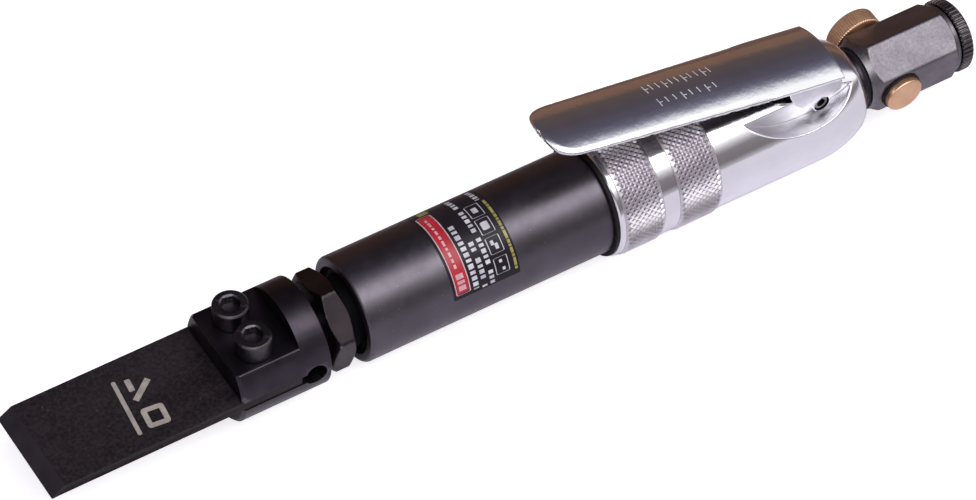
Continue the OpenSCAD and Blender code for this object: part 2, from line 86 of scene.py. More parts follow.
def solid(name, points, faces, finish, sharp=35):
    """A closed mesh object with smooth shading that breaks at edges sharper than the angle given."""
    mesh = bpy.data.meshes.new(name)
    mesh.from_pydata((np.asarray(points, float) * MM).tolist(), [], faces)
    work = bmesh.new()
    work.from_mesh(mesh)
    bmesh.ops.remove_doubles(work, verts=work.verts, dist=0.002 * MM)
    bmesh.ops.recalc_face_normals(work, faces=work.faces)
    work.to_mesh(mesh)
    work.free()
    mesh.materials.append(finish)
    piece = bpy.data.objects.new(name, mesh)
    bpy.context.scene.collection.objects.link(piece)
    shade(piece, sharp)
    return piece


def shade(piece, sharp=35):
    mesh = piece.data
    mesh.shade_smooth()
    mesh.set_sharp_from_angle(angle=math.radians(sharp))
    if not piece.modifiers.get("normals"):
        piece.modifiers.new("normals", "WEIGHTED_NORMAL").keep_sharp = True


def skin(name, rings, finish, closed=False, sharp=35):
    """Joins rings of equal length. Closed joins the last ring to the first; otherwise the ends are capped."""
    rings = np.asarray(rings, float)
    count, around = rings.shape[:2]
    faces = []
    for i in range(count if closed else count - 1):
        a, b = i * around, (i + 1) % count * around
        for j in range(around):
            k = (j + 1) % around
            faces.append((a + j, a + k, b + k, b + j))
    if not closed:
        faces += [tuple(range(around)), tuple(range((count - 1) * around, count * around))]
    return solid(name, rings.reshape(-1, 3), faces, finish, sharp)


def turns(segments):
    return np.arange(segments) * 2 * math.pi / segments


def ring(x, radius, angles):
    """Points round the X axis; radius is one number or one per angle."""
    radius = np.broadcast_to(radius, angles.shape)
    return np.stack([np.full(angles.shape, float(x)), -radius * np.sin(angles), radius * np.cos(angles)], 1)


def fillet(outline, radius=0.3, steps=4, closed=False):
    """Rounds the corners of an outline. A third number on a corner is its own radius."""
    count = len(outline)
    rounded = []
    for i, corner in enumerate(outline):
        here = np.array(corner[:2], float)
        own = corner[2] if len(corner) > 2 else radius
        if own <= 0 or (not closed and i in (0, count - 1)):
            rounded.append(here)
            continue
        before = np.array(outline[i - 1][:2], float) - here
        after = np.array(outline[(i + 1) % count][:2], float) - here
        reach_a, reach_b = np.linalg.norm(before), np.linalg.norm(after)
        before, after = before / reach_a, after / reach_b
        half = math.acos(max(-1.0, min(1.0, float(before @ after)))) / 2
        if half > math.radians(87):
            rounded.append(here)
            continue
        leg = min(own / math.tan(half), 0.45 * reach_a, 0.45 * reach_b)
        arc_r = leg * math.tan(half)
        centre = here + (before + after) / np.linalg.norm(before + after) * arc_r / math.sin(half)
        start, end = here + before * leg - centre, here + after * leg - centre
        for step in range(steps + 1):
            blend = step / steps
            spoke = start * math.sin((1 - blend) * (math.pi / 2 - half)* 2) + end * math.sin(blend * (math.pi / 2 - half) * 2)
            rounded.append(centre + spoke / np.linalg.norm(spoke) * arc_r)
    return rounded


def turned(name, outline, finish, radius=0.3, segments=128, closed=False):
    """A body of revolution about X from (x, radius) corners, which are rounded."""
    angles = turns(segments)
    rings = [ring(x, r, angles) for x, r in fillet(outline, radius, closed=closed)]
    return skin(name, rings, finish, closed)


def moved(piece, matrix):
    piece.data.transform(matrix)
    return piece


def along_z(x, y=0.0):
    """Turns a piece made about X so that it stands about Z at the place given, +X becoming +Z."""
    return Matrix.Translation((x * MM, y * MM, 0)) @ Matrix.Rotation(-math.pi / 2, 4, "Y")


def box_mesh(low, high):
    low, high = np.array(low, float), np.array(high, float)
    corners = [[(low, high)[i][0], (low, high)[j][1], (low, high)[k][2]]
               for i in (0, 1) for j in (0, 1) for k in (0, 1)]
    faces = [(0, 1, 3, 2), (4, 6, 7, 5), (0, 4, 5, 1), (2, 3, 7, 6), (0, 2, 6, 4), (1, 5, 7, 3)]
    return corners, faces


def cutter(shape):
    corners, faces = shape
    return solid("cutter", corners, faces, None)


def rod_cutter(x0, x1, radius, segments=64):
    angles = turns(segments)
    return skin("cutter", [ring(x0, radius, angles), ring(x1, radius, angles)], None)


def along_y(x, z):
    """Turns a piece made about X so that it lies along Y at the place given."""
    return Matrix.Translation((x * MM, 0, z * MM)) @ Matrix.Rotation(math.pi / 2, 4, "Z")


def combine(piece, others, operation="DIFFERENCE", sharp=35):
    """Cuts the others from the piece, or adds them to it, and keeps the result as its mesh."""
    piece.modifiers.clear()
    for other in others:
        step = piece.modifiers.new("combine", "BOOLEAN")
        step.operation = operation
        step.solver = "EXACT"
        step.object = other
        other.modifiers.clear()
    bake(piece)
    for other in others:
        bpy.data.objects.remove(other)
    shade(piece, sharp)
    return piece


def bake(piece):
    """Applies a piece's modifiers."""
    bpy.context.view_layer.update()
    ready = piece.evaluated_get(bpy.context.evaluated_depsgraph_get())
    mesh = bpy.data.meshes.new_from_object(ready)
    piece.modifiers.clear()
    piece.data = mesh


def paint(piece, finish, chosen):
    """Gives the faces whose centre and normal pass a test a finish of their own."""
    piece.data.materials.append(finish)
    for face in piece.data.polygons:
        if chosen(face.center / MM, face.normal):
            face.material_index = len(piece.data.materials) - 1


def soften(piece, width, steps=2, angle=30):
    """Rounds the edges that are sharper than the angle."""
    bevel = piece.modifiers.new("soften", "BEVEL")
    bevel.width = width * MM
    bevel.segments = steps
    bevel.limit_method = "ANGLE"
    bevel.angle_limit = math.radians(angle)
    bevel.use_clamp_overlap = False
    piece.modifiers.move(len(piece.modifiers) - 1, 0)
    bake(piece)
    shade(piece, 50)
    return piece


def extruded(name, outline, y0, y1, finish):
    """A plate from a closed (x, z) outline, between two places along Y."""
    count = len(outline)
    points = [(p[0], y, p[1]) for y in (y0, y1) for p in outline]
    sides = [(i, (i + 1) % count, count + (i + 1) % count, count + i) for i in range(count)]
    ends = [tuple(range(count)), tuple(range(count, 2 * count))]
    return solid(name, points, sides + ends, finish)


def smaller(a, b, blend):
    """The smaller of two, with the crease between them rounded off."""
    gap = np.maximum(blend - np.abs(a - b), 0)
    return np.minimum(a, b) - gap * gap / (4 * blend)


def larger(a, b, blend):
    return -smaller(-np.asarray(a, float), -np.asarray(b, float), blend)


def hexagon(angles, across_flats, corner_cut, clock=0.0):
    """Radius of a hexagon with eased corners; a corner points up before it is turned by the clock angle."""
    from_flat = np.mod(angles + clock, math.pi / 3) - math.pi / 6
    flat = across_flats / 2 / np.cos(from_flat)
    return smaller(flat, np.full(angles.shape, across_flats / math.sqrt(3) - corner_cut), 0.25)


def place(piece, body, slot, *nodes):
    """Makes a piece ride on its body and stand for CAD nodes, which it hides; the slot is not used."""
    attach(piece, body)
    if nodes:
        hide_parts(*nodes)
    return piece


# ---------------------------------------------------------------- materials

def add(tree, kind, settings=None, **inputs):
    """A shader node; an input is a number, a colour or another node's output."""
    node = tree.nodes.new(kind)
    for key, value in (settings or {}).items():
        setattr(node, key, value)
    for key, value in inputs.items():
        socket = node.inputs[key.replace("_", " ")] if not key.startswith("n") or not key[1:].isdigit() \
            else node.inputs[int(key[1:])]
        if isinstance(value, bpy.types.NodeSocket):
            tree.links.new(value, socket)
        else:
            socket.default_value = value
    return node


def rgba(colour):
    return (*colour, 1.0)


def remap(tree, value, low, high, out_low, out_high):
    node = add(tree, "ShaderNodeMapRange", n0=value, n1=low, n2=high, n3=out_low, n4=out_high)
    return node.outputs[0]


def mixed(tree, amount, first, second):
    """A colour between two; each is a colour or an output."""
    first = first if isinstance(first, bpy.types.NodeSocket) else rgba(first)
    second = second if isinstance(second, bpy.types.NodeSocket) else rgba(second)
    node = add(tree, "ShaderNodeMix", {"data_type": "RGBA"}, n0=amount, n6=first, n7=second)
    return node.outputs[2]


def noise(tree, scale, stretch=(1, 1, 1), detail=3.0, rough=0.55):
    """Noise in object space; the scale is in cells per metre, and stretch lengthens the grain."""
    place_in = add(tree, "ShaderNodeTexCoord").outputs["Object"]
    mapping = add(tree, "ShaderNodeMapping", Vector=place_in, Scale=stretch)
    field = add(tree, "ShaderNodeTexNoise", Vector=mapping.outputs[0], Scale=scale,
                Detail=detail, Roughness=rough)
    return field.outputs["Fac"]


def surface(name, light, dark, metal, rough, grain, bump=0.02, stretch=(1, 1, 1), wear_and_sheen=None,
            speckle=None, wave=None, gloss=0.5, pits=None):
    """A finish with mottled colour, uneven roughness, a fine relief, optional edge wear with a painted edge
    highlight, and optional painted shade in pits.

    light and dark are the two colours of the mottling; rough is (least, most); grain is in
    cells per metre; the edge lightening is (colour, amount), partly wear and partly a painted
    edge highlight; speckle is (colour, cells per metre, share); wave is (cells per metre,
    strength) of a broad unevenness that clouds reflections; gloss is the level of reflection
    where the finish is not metal; pits is (radius, radius) between which the colour rises from
    a quarter to its own, as painted shade in the bottom of the knurling.
    """
    material = bpy.data.materials.new(name)
    material.use_nodes = True
    tree = material.node_tree
    tree.nodes.clear()
    broad = noise(tree, grain * 0.12, detail=2.0)
    fine = noise(tree, grain, stretch, detail=4.0)
    colour = mixed(tree, remap(tree, broad, 0.35, 0.65, 0, 1), dark, light)
    if speckle:
        dots = noise(tree, speckle[1], detail=1.0)
        edge = 1 - speckle[2]
        colour = mixed(tree, remap(tree, dots, edge, edge + 0.04, 0, 0.7), colour, speckle[0])
    # lightening of sharp edges: partly wear, partly a painted edge highlight
    if wear_and_sheen:
        point = add(tree, "ShaderNodeNewGeometry").outputs["Pointiness"]
        ragged = add(tree, "ShaderNodeMath", {"operation": "MULTIPLY_ADD"}, n0=fine, n1=0.06, n2=point)
        worn_and_lit = remap(tree, ragged.outputs[0], 0.56, 0.62, 0, wear_and_sheen[1])
        colour = mixed(tree, worn_and_lit, colour, wear_and_sheen[0])
    # painted shade: the colour drops to a quarter of the dark tone in the bottom of the knurl pits
    if pits:
        across = add(tree, "ShaderNodeVectorMath", {"operation": "MULTIPLY"}, n1=(0, 1, 1),
                     n0=add(tree, "ShaderNodeTexCoord").outputs["Object"]).outputs[0]
        radius = add(tree, "ShaderNodeVectorMath", {"operation": "LENGTH"}, n0=across).outputs["Value"]
        out_of_pit_shade = remap(tree, radius, pits[0] * MM, pits[1] * MM, 0, 1)
        colour = mixed(tree, out_of_pit_shade, tuple(c * 0.25 for c in dark), colour)
    roughness = remap(tree, fine, 0.3, 0.7, rough[0], rough[1])
    relief = add(tree, "ShaderNodeBump", Strength=bump, Distance=0.0001, Height=fine)
    if wave:
        swell = noise(tree, wave[0], detail=3.0, rough=0.6)
        relief = add(tree, "ShaderNodeBump", Strength=wave[1], Distance=0.0005, Height=swell,
                     Normal=relief.outputs[0])
    shader = add(tree, "ShaderNodeBsdfPrincipled", Base_Color=colour, Metallic=metal,
                 Roughness=roughness, Specular_IOR_Level=gloss, Normal=relief.outputs[0])
    output = add(tree, "ShaderNodeOutputMaterial")
    tree.links.new(shader.outputs[0], output.inputs[0])
    return material


AROUND = (8, 0.4, 0.4)      # grain that runs round the tool, as turning leaves it
ALONG = (0.3, 5, 5)         # grain that runs along the tool, as drawing and polishing leave it

blade_black = surface("blade_black", (0.013, 0.0065, 0.0115), (0.007, 0.0035, 0.006), 0.0, (0.5, 0.6), 1100,
                      0.12, (1, 1, 1), ((0.12, 0.11, 0.12), 0.4), ((0.09, 0.08, 0.085), 1000, 0.24),
                      gloss=0.08)
ground_black = surface("ground_black", (0.03, 0.026, 0.034), (0.018, 0.015, 0.022), 0.2, (0.4, 0.5), 1100,
                       0.2, (1, 1, 0.2))
# painted shade: a near-black finish put on recesses and holes where only shadow is seen
gap_black = surface("gap_black", (0.004, 0.003, 0.004), (0.002, 0.0015, 0.002), 0.0, (0.6, 0.7), 900, 0.1,
                    gloss=0.1)
holder_black = surface("holder_black", (0.066, 0.055, 0.07), (0.042, 0.034, 0.045), 1.0, (0.28, 0.4), 800,
                       0.12, AROUND, ((0.24, 0.23, 0.26), 0.4))
screw_black = surface("screw_black", (0.1, 0.09, 0.104), (0.062, 0.055, 0.064), 1.0, (0.28, 0.4), 1500,
                      0.15, (1, 1, 1), ((0.3, 0.28, 0.32), 0.3))
nut_black = surface("nut_black", (0.056, 0.045, 0.05), (0.04, 0.031, 0.035), 1.0, (0.32, 0.44), 900,
                    0.1, (1, 1, 1), ((0.3, 0.28, 0.3), 0.6))
barrel_black = surface("barrel_black", (0.138, 0.123, 0.146), (0.11, 0.097, 0.117), 1.0, (0.33, 0.41), 500,
                       0.02, (1, 1, 1), ((0.28, 0.26, 0.29), 0.4), ((0.3, 0.28, 0.3), 1500, 0.25))
ring_black = surface("ring_black", (0.009, 0.007, 0.009), (0.005, 0.004, 0.005), 0.0, (0.45, 0.6), 900, 0.1,
                     gloss=0.25)
rubber_black = surface("rubber_black", (0.014, 0.011, 0.014), (0.008, 0.006, 0.008), 0.0, (0.5, 0.7), 1500, 0.2,
                       gloss=0.25)
mirror_steel = surface("mirror_steel", (0.93, 0.93, 0.95), (0.86, 0.86, 0.89), 1.0, (0.06, 0.14), 500,
                       0.03, ALONG, wave=(230, 0.15))
handle_steel = surface("handle_steel", (0.94, 0.93, 0.96), (0.88, 0.87, 0.91), 1.0, (0.08, 0.15), 600,
                       0.02, AROUND, wave=(160, 0.06))
milled_steel = surface("milled_steel", (0.8, 0.785, 0.83), (0.66, 0.65, 0.69), 1.0, (0.3, 0.4), 700,
                       0.25, (1, 1, 0.3), wave=(220, 0.3))
# pits paints shade into the bottom of the knurl pits
knurl_steel = surface("knurl_steel", (0.76, 0.72, 0.77), (0.64, 0.6, 0.65), 1.0, (0.26, 0.38), 2500, 0.1,
                      pits=(17.0, 17.14))
bright_steel = surface("bright_steel", (0.62, 0.61, 0.62), (0.5, 0.49, 0.5), 1.0, (0.18, 0.3), 900, 0.05, AROUND)
pin_steel = surface("pin_steel", (0.17, 0.15, 0.16), (0.08, 0.07, 0.08), 1.0, (0.3, 0.45), 1500, 0.1)
anodised = surface("anodised", (0.225, 0.205, 0.23), (0.18, 0.162, 0.185), 1.0, (0.34, 0.46), 1400,
                   0.15, (1, 1, 1), ((0.45, 0.43, 0.46), 0.4), ((0.14, 0.125, 0.145), 1700, 0.3))
ring_grey = surface("ring_grey", (0.17, 0.15, 0.16), (0.11, 0.095, 0.1), 1.0, (0.3, 0.42), 1400, 0.1)
knob_brass = surface("knob_brass", (1.0, 0.66, 0.43), (0.85, 0.52, 0.32), 1.0, (0.38, 0.5), 900, 0.12,
                     (4, 0.4, 4))
button_brass = surface("button_brass", (0.9, 0.57, 0.36), (0.78, 0.47, 0.29), 1.0, (0.36, 0.46), 1300, 0.1)
amber = surface("amber", (0.75, 0.33, 0.07), (0.6, 0.24, 0.04), 0.0, (0.35, 0.5), 400, 0.05)
etched = surface("etched", (0.56, 0.5, 0.46), (0.4, 0.35, 0.33), 0.3, (0.45, 0.65), 2500, 0.2)
print_white = surface("print_white", (0.72, 0.7, 0.76), (0.5, 0.48, 0.54), 0.0, (0.35, 0.5), 2500, 0.05)
print_red = surface("print_red", (0.56, 0.03, 0.045), (0.42, 0.015, 0.03), 0.0, (0.25, 0.4), 900, 0.05)
print_pink = surface("print_pink", (0.75, 0.5, 0.54), (0.6, 0.34, 0.39), 0.0, (0.3, 0.45), 2500, 0.05)
print_yellow = surface("print_yellow", (0.42, 0.37, 0.1), (0.3, 0.26, 0.07), 0.0, (0.35, 0.5), 2500, 0.05)
label_black = surface("label_black", (0.02, 0.015, 0.022), (0.013, 0.01, 0.015), 0.0, (0.3, 0.42), 900, 0.05,
                      gloss=0.25)


# ---------------------------------------------------------------- blade end

blade_low, blade_high = span("scraper_blade")
holder_low, holder_high = span("blade_holder")
holder_r = holder_high[1]
screw_low, screw_high = span("clamp_screws")


def make_blade():
    bevel = 4.0
    land = 0.2
    tip, rear = blade_low[0], blade_high[0]
    bottom, top = blade_low[2], blade_high[2]
    outline = [(tip, bottom), (rear, bottom), (rear, top), (tip + bevel, top), (tip, bottom + land)]
    piece = extruded("blade", outline, blade_low[1], blade_high[1], blade_black)
    screw_x = (screw_low[0] + screw_high[0]) / 2
    holes = [moved(rod_cutter(-4, 4, 3.3), along_z(screw_x, y)) for y in (-6, 6)]
    combine(piece, holes)
    soften(piece, 0.22, 2)
    paint(piece, ground_black, lambda centre, normal: centre[0] < tip + bevel and normal[2] > 0.2)
    return place(piece, "chisel", "blade_steel", "scraper_blade")


def holder_angles():
    """Angles round the holder, close together where the flat meets the round."""
    corner = math.acos(9.5 / holder_r)
    near = np.linspace(-0.12, 0.12, 17)
    spread = np.linspace(0, 2 * math.pi, 121)[:-1]
    spread = [a for a in spread if min(abs(a - corner), abs(a - (2 * math.pi - corner))) > 0.14]
    return np.sort(np.concatenate([spread, corner + near, 2 * math.pi - corner + near]))


def make_holder():
    front, rear = holder_low[0], -212.3
    flat_z, step_x = 9.5, -220.2
    slot_end, slot_half, shank_r, chamfer = -217.0, 1.55, 6.0, 0.8
    angles = holder_angles()
    lift = np.cos(angles)
    flat = np.where(lift > 0.05, flat_z / np.maximum(lift, 0.05), 99.0)

    def section(x, radius, drop=0.0):
        full = np.full(angles.shape, radius)
        return ring(x, smaller(full, flat - drop, 0.3), angles)

    rings = [ring(front, 0.0, angles), section(front, holder_r - chamfer, 0.7)]
    rings += [section(front + 0.12, holder_r - chamfer + 0.12, 0.5),
              section(front + chamfer - 0.1, holder_r - 0.12, 0.06), section(front + chamfer, holder_r)]
    rings += [section(x, holder_r) for x in np.linspace(front + 1.2, step_x - 0.25, 12)]
    rings += [section(step_x - 0.07, holder_r), section(step_x, holder_r, -0.1)]
    for x, r in fillet([(step_x, holder_r - 0.25), (step_x, holder_r), (rear, holder_r),
                        (rear, holder_r - chamfer), (rear, shank_r), (-184, shank_r), (-184, 0)], 0.35)[1:]:
        full = np.full(angles.shape, r)
        rings.append(ring(x, full, angles))
    piece = skin("holder", rings, holder_black)
    slot = cutter(box_mesh((front - 1, -20, -slot_half), (slot_end, 20, slot_half)))
    relief = moved(rod_cutter(-20, 20, 3.25), along_y(slot_end, 0))
    combine(piece, [slot, relief], sharp=30)
    return place(piece, "chisel", "black_oxide", "blade_holder")


def make_screw(name, y):
    """A socket head screw, with its hexagonal recess made ring by ring."""
    angles = turns(96)
    base, top = 9.5, screw_high[2]
    recess = hexagon(angles, 5.0, 0.0, math.radians(12))
    outer = fillet([(base - 4, 0), (base - 4, 2.9), (base, 2.9, 0), (base, 4.85, 0.25), (base + 0.4, 5.0, 0.2),
                    (top - 0.55, 5.0, 0.25), (top, 4.45, 0.2), (top, 3.3)], 0.2)
    rings = [ring(z, r, angles) for z, r in outer]
    rings += [ring(top, 3.15, angles), ring(top - 0.3, np.maximum(recess, 2.62), angles),
              ring(top - 0.42, recess, angles), ring(top - 3, recess, angles), ring(top - 3.3, 0.0, angles)]
    piece = skin(name, rings, screw_black, sharp=25)
    return moved(piece, along_z((screw_low[0] + screw_high[0]) / 2, y))


def make_screws():
    """The two screws share one node, so they are one piece."""
    near, far = make_screw("clamp_screw_pair", -6), make_screw("clamp_screw_b", 6)
    joined([near, far])
    return place(near, "chisel", "screw_steel", "clamp_screws")


def joined(pieces):
    """Joins meshes into the first piece without merging their surfaces."""
    work = bmesh.new()
    for piece in pieces:
        work.from_mesh(piece.data)
    work.to_mesh(pieces[0].data)
    work.free()
    for piece in pieces[1:]:
        bpy.data.objects.remove(piece)
    shade(pieces[0], 25)
    return pieces[0]


# ---------------------------------------------------------------- flat marks wrapped on a surface

class Marks:
    """Thin closed plates drawn in a plane (u, v), then mapped on to a surface."""

    def __init__(self):
        self.points, self.faces = [], []

    def strip(self, left, right):
        """A plate between two edges with the same number of points."""
        start, count = len(self.points), len(left)
        for level in (0, 1):
            for a, b in zip(left, right):
                self.points += [(*a, level), (*b, level)]
        for level in (0, 1):
            base = start + level * 2 * count
            for i in range(count - 1):
                j = base + 2 * i
                self.faces.append((j, j + 1, j + 3, j + 2))
        for i in range(count - 1):
            for side in (0, 1):
                low = start + 2 * i + side
                self.faces.append((low, low + 2, low + 2 + 2 * count, low + 2 * count))
        for i in (0, count - 1):
            low = start + 2 * i
            self.faces.append((low, low + 1, low + 1 + 2 * count, low + 2 * count))

    def bar(self, u0, u1, v0, v1, corner=0.0, step=0.8):
        """A rounded rectangle, in strips across v."""
        count = max(2, int(abs(v1 - v0) / step) + 1)
        vs = np.linspace(v0, v1, count)
        if corner:
            ends = corner * (1 - np.cos(np.linspace(0, math.pi / 2, 5)))
            inner = vs[(vs > v0 + corner) & (vs < v1 - corner)]
            vs = np.concatenate([v0 + ends, inner, (v1 - ends)[::-1]])
        left, right = [], []
        for v in vs:
            depth = min(v - v0, v1 - v, corner)
            cut = corner - math.sqrt(max(corner ** 2 - (corner - depth) ** 2, 0)) if corner else 0
            left.append((u0 + cut, v))
            right.append((u1 - cut, v))
        self.strip(left, right)

    def frame(self, u0, u1, v0, v1, corner, width):
        """The outline of a rounded rectangle, as a closed band."""
        loops = []
        for inset in (0, width):
            r = max(corner - inset, 0.05)
            loop = []
            corners = [(u1 - inset - r, v1 - inset - r, 0), (u0 + inset + r, v1 - inset - r, 90),
                       (u0 + inset + r, v0 + inset + r, 180), (u1 - inset - r, v0 + inset + r, 270)]
            for i, (u, v, turn) in enumerate(corners):
                arc = [(u + r * math.cos(math.radians(turn + a)), v + r * math.sin(math.radians(turn + a)))
                       for a in (0, 30, 60, 90)]
                loop += arc
                after = corners[(i + 1) % 4]
                end = (after[0] + r * math.cos(math.radians(after[2])),
                       after[1] + r * math.sin(math.radians(after[2])))
                pieces = max(1, int(math.dist(arc[-1], end) / 0.8))
                pieces = 24 if abs(v1 - v0) > 10 and i in (1, 3) else min(pieces, 4)
                loop += [tuple(np.array(arc[-1]) + (np.array(end) - arc[-1]) * k / pieces)
                         for k in range(1, pieces)]
            loops.append(loop)
        count = min(len(loops[0]), len(loops[1]))
        start = len(self.points)
        for level in (0, 1):
            for a, b in zip(loops[0][:count], loops[1][:count]):
                self.points += [(*a, level), (*b, level)]
        for i in range(count):
            j = (i + 1) % count
            for level in (0, 2 * count):
                a, b = start + level + 2 * i, start + level + 2 * j
                self.faces.append((a, a + 1, b + 1, b))
            for side in (0, 1):
                a, b = start + 2 * i + side, start + 2 * j + side
                self.faces.append((a, b, b + 2 * count, a + 2 * count))

    def slanted(self, u0, v0, u1, v1, width):
        """A straight stroke between two points."""
        length = math.dist((u0, v0), (u1, v1))
        along = np.array([u1 - u0, v1 - v0]) / length
        across = np.array([-along[1], along[0]]) * width / 2
        line = [np.array([u0, v0]) + along * d for d in np.linspace(0, length, 2 + int(length / 0.5))]
        self.strip([tuple(p - across) for p in line], [tuple(p + across) for p in line])

    def build(self, name, mapping, finish):
        return solid(name, [mapping(*p) for p in self.points], self.faces, finish)


def make_blade_mark():
    """A generic etched mark: a long bar, and a square ring with a stroke across it."""
    marks = Marks()
    marks.bar(-1.2, 0.0, -9.5, 9.5, 0.5)
    marks.frame(2.2, 8.6, -8.6, -1.8, 1.0, 1.5)
    marks.slanted(2.6, 1.4, 8.2, 6.8, 1.7)
    marks.bar(2.2, 3.8, 4.6, 8.8, 0.3)
    turn = math.radians(6)
    top = blade_high[2]

    def on_blade(u, v, level):
        x = -265.0 + u * math.cos(turn) + v * math.sin(turn)
        y = -1.0 - u * math.sin(turn) + v * math.cos(turn)
        return x, y, top - 0.02 + 0.035 * level

    return place(marks.build("blade_mark", on_blade, etched), "chisel", "blade_steel")


# ---------------------------------------------------------------- barrel

barrel_low, barrel_high = span("barrel")
barrel_r = barrel_high[1]


def make_nut():
    low, high = span("gland_nut")
    front, rear, bore, across = low[0], -203.0, 6.05, 25.0
    clock = math.radians(12)
    angles = turns(288)
    flats = hexagon(angles, across, 0.12, -clock)

    def section(x, cone):
        return ring(x, smaller(flats, np.full(angles.shape, cone), 0.2), angles)

    edge_r, corner_r = across / 2 - 0.2, across / math.sqrt(3) + 0.3
    rings = [ring(front, bore + 0.5, angles), ring(front, edge_r - 0.25, angles)]
    slope = np.linspace(0, 1, 9)
    rings += [section(front + 0.05 + 1.5 * s, edge_r + (corner_r - edge_r) * s) for s in slope]
    rings += [section(rear - 0.05 - 1.5 * s, edge_r + (corner_r - edge_r) * s) for s in slope[::-1]]
    rings += [ring(rear, edge_r - 0.25, angles), ring(rear, 10.1, angles), ring(rear, 9.95, angles),
              ring(high[0], 9.95, angles), ring(high[0], bore, angles), ring(front + 0.5, bore, angles)]
    piece = skin("nut", rings, nut_black, closed=True, sharp=30)
    # painted shade: the spigot and bore behind the hex sit in the barrel's recess and are painted near-black
    paint(piece, gap_black, lambda centre, _: centre[0] > rear + 0.02)
    return place(piece, "tool_body", "black_oxide", "gland_nut")


def make_barrel():
    front, shoulder, rear = barrel_low[0], -123.9, barrel_high[0]
    outline = [(front + 1.2, 10.0, 0.2), (front + 1.2, 11.4, 0.1), (front, 12.6, 0.1), (front, barrel_r, 1.1),
               (shoulder, barrel_r, 0.25), (shoulder, 13.0), (rear, 13.0, 0.3),
               (rear, 7.5, 0.3), (-188, 7.5, 0.3), (-188, 10.0)]
    piece = turned("tube", outline, barrel_black, 0.2, 192, closed=True)
    # painted shade: the turned recess round the nut is painted near-black
    paint(piece, gap_black, lambda centre, _: centre[0] < front + 1.3 and math.hypot(*centre[1:]) < 12.8)
    return place(piece, "tool_body", "black_oxide", "barrel")


def on_barrel(lift):
    """Maps x and degrees round the barrel to its surface, lifted by a thin print."""
    def mapping(x, degrees, level):
        angle = math.radians(degrees)
        radius = barrel_r - 0.02 + (lift + 0.02) * level
        return x, -radius * math.sin(angle), radius * math.cos(angle)
    return mapping


def dashes(marks, x0, x1, start, end, lengths, gap=2.2):
    """A row of short blocks round the barrel that stands for lines of print."""
    at, i = start, 0
    while at < end:
        length = lengths[i % len(lengths)]
        if length > 0:
            stop = min(at + length, end)
            marks.bar(x0, x1, at, stop, 0.0, 4.0)
        at += abs(length) + gap
        i += 1


def make_label():
    """A generic printed label: a dark field, a red band, rows of blocks and four plain tiles."""
    field, red, pale, white, yellow = (Marks() for _ in range(5))
    field.bar(-174.4, -153.8, -48, 77, 1.0, 3.0)
    red.bar(-173.2, -169.5, -26, 71, 0.9, 3.0)
    pale.frame(-173.6, -169.1, -28, 72.5, 1.2, 0.32)
    dashes(pale, -172.0, -171.3, -20, 44, (4, 6, 3, 5))
    dashes(pale, -172.5, -170.3, 50, 68, (5.5, 3.5), 1.8)
    dashes(white, -168.2, -166.6, 2, 73, (4.5, 3.2, 5.2, 3.6, 4.2))
    dashes(white, -165.6, -164.1, 26, 75, (4.2, 3.4, -3, 5, 3))
    dashes(white, -163.1, -161.7, -38, 75, (3.4, 4.6, 3, 4.2, -2.5, 3.8))
    dashes(white, -156.6, -155.2, -40, -16, (3.6, 2.8, 4.2))
    for row, centre in enumerate((-4, 16.5, 38, 60)):
        white.frame(-160.9, -156.7, centre - 8.8, centre + 8.8, 0.7, 0.22)
        if row == 0:
            white.bar(-159.6, -158.0, centre - 3.6, centre + 3.6, 0.3, 2.0)
        elif row == 1:
            white.bar(-159.9, -157.7, centre - 4.6, centre + 4.6, 0.9, 2.0)
        elif row == 2:
            white.bar(-159.8, -158.9, centre - 5, centre, 0.2, 2.0)
            white.bar(-158.9, -157.9, centre - 1, centre + 5, 0.2, 2.0)
        else:
            white.bar(-159.3, -158.4, centre - 6, centre - 2.8, 0.2, 2.0)
            white.bar(-158.8, -157.9, centre + 2.6, centre + 6, 0.2, 2.0)
    dashes(yellow, -155.2, -154.4, -12, 71, (6, 3, 9, 4, 2.5), 1.0)
    yellow.bar(-171.6, -168.6, -42, -32, 0.5, 3.0)
    layers = [("label_field", field, label_black, 0.03), ("label_red", red, print_red, 0.05),
              ("label_pale", pale, print_pink, 0.07), ("label_white", white, print_white, 0.06),
              ("label_yellow", yellow, print_yellow, 0.06)]
    for name, marks, finish, lift in layers:
        place(marks.build(name, on_barrel(lift), finish), "tool_body", "black_oxide")


def make_exhaust_ring():
    low, high = span("exhaust_ring")
    outline = [(low[0], 13.05), (low[0], high[1], 0.2), (high[0], high[1], 0.1), (high[0], 13.05)]
    piece = turned("exhaust_collar", outline, ring_black, 0.1, 160, closed=True)
    return place(piece, "tool_body", "black_nylon", "exhaust_ring")


# ---------------------------------------------------------------- handle

handle_low, handle_high = span("handle_housing")
handle_r = 17.1
knurl_bands = ((-121.2, -108.7), (-103.7, -90.2))
web_half, pocket_x, pocket_r = 9.4, -59.5, 30.0
pocket_centre_z = 7.0 + pocket_r


def handle_radius(x):
    """Radius of the handle along X: straight, then a long arc and a steeper nose at the rear."""
    long_r, arc_start, arc_end = 30.0, -54.0, -40.5
    if x <= arc_start:
        return handle_r
    if x <= arc_end:
        return handle_r - long_r + math.sqrt(long_r ** 2 - (x - arc_start) ** 2)
    shoulder = handle_radius(arc_end)
    nose = min(x, handle_high[0]) - arc_end
    return shoulder - 0.5 * nose - 0.19 * nose ** 2


def handle_angles():
    """Angles round the handle, close together across the lever's pockets."""
    dense = np.radians(np.arange(25, 76, 0.55))
    top = np.radians(np.arange(-24, 24.1, 2.0))
    under = np.radians(np.arange(80, 280.1, 2.5))
    return np.concatenate([top, dense, under, 2 * math.pi - dense[::-1]])


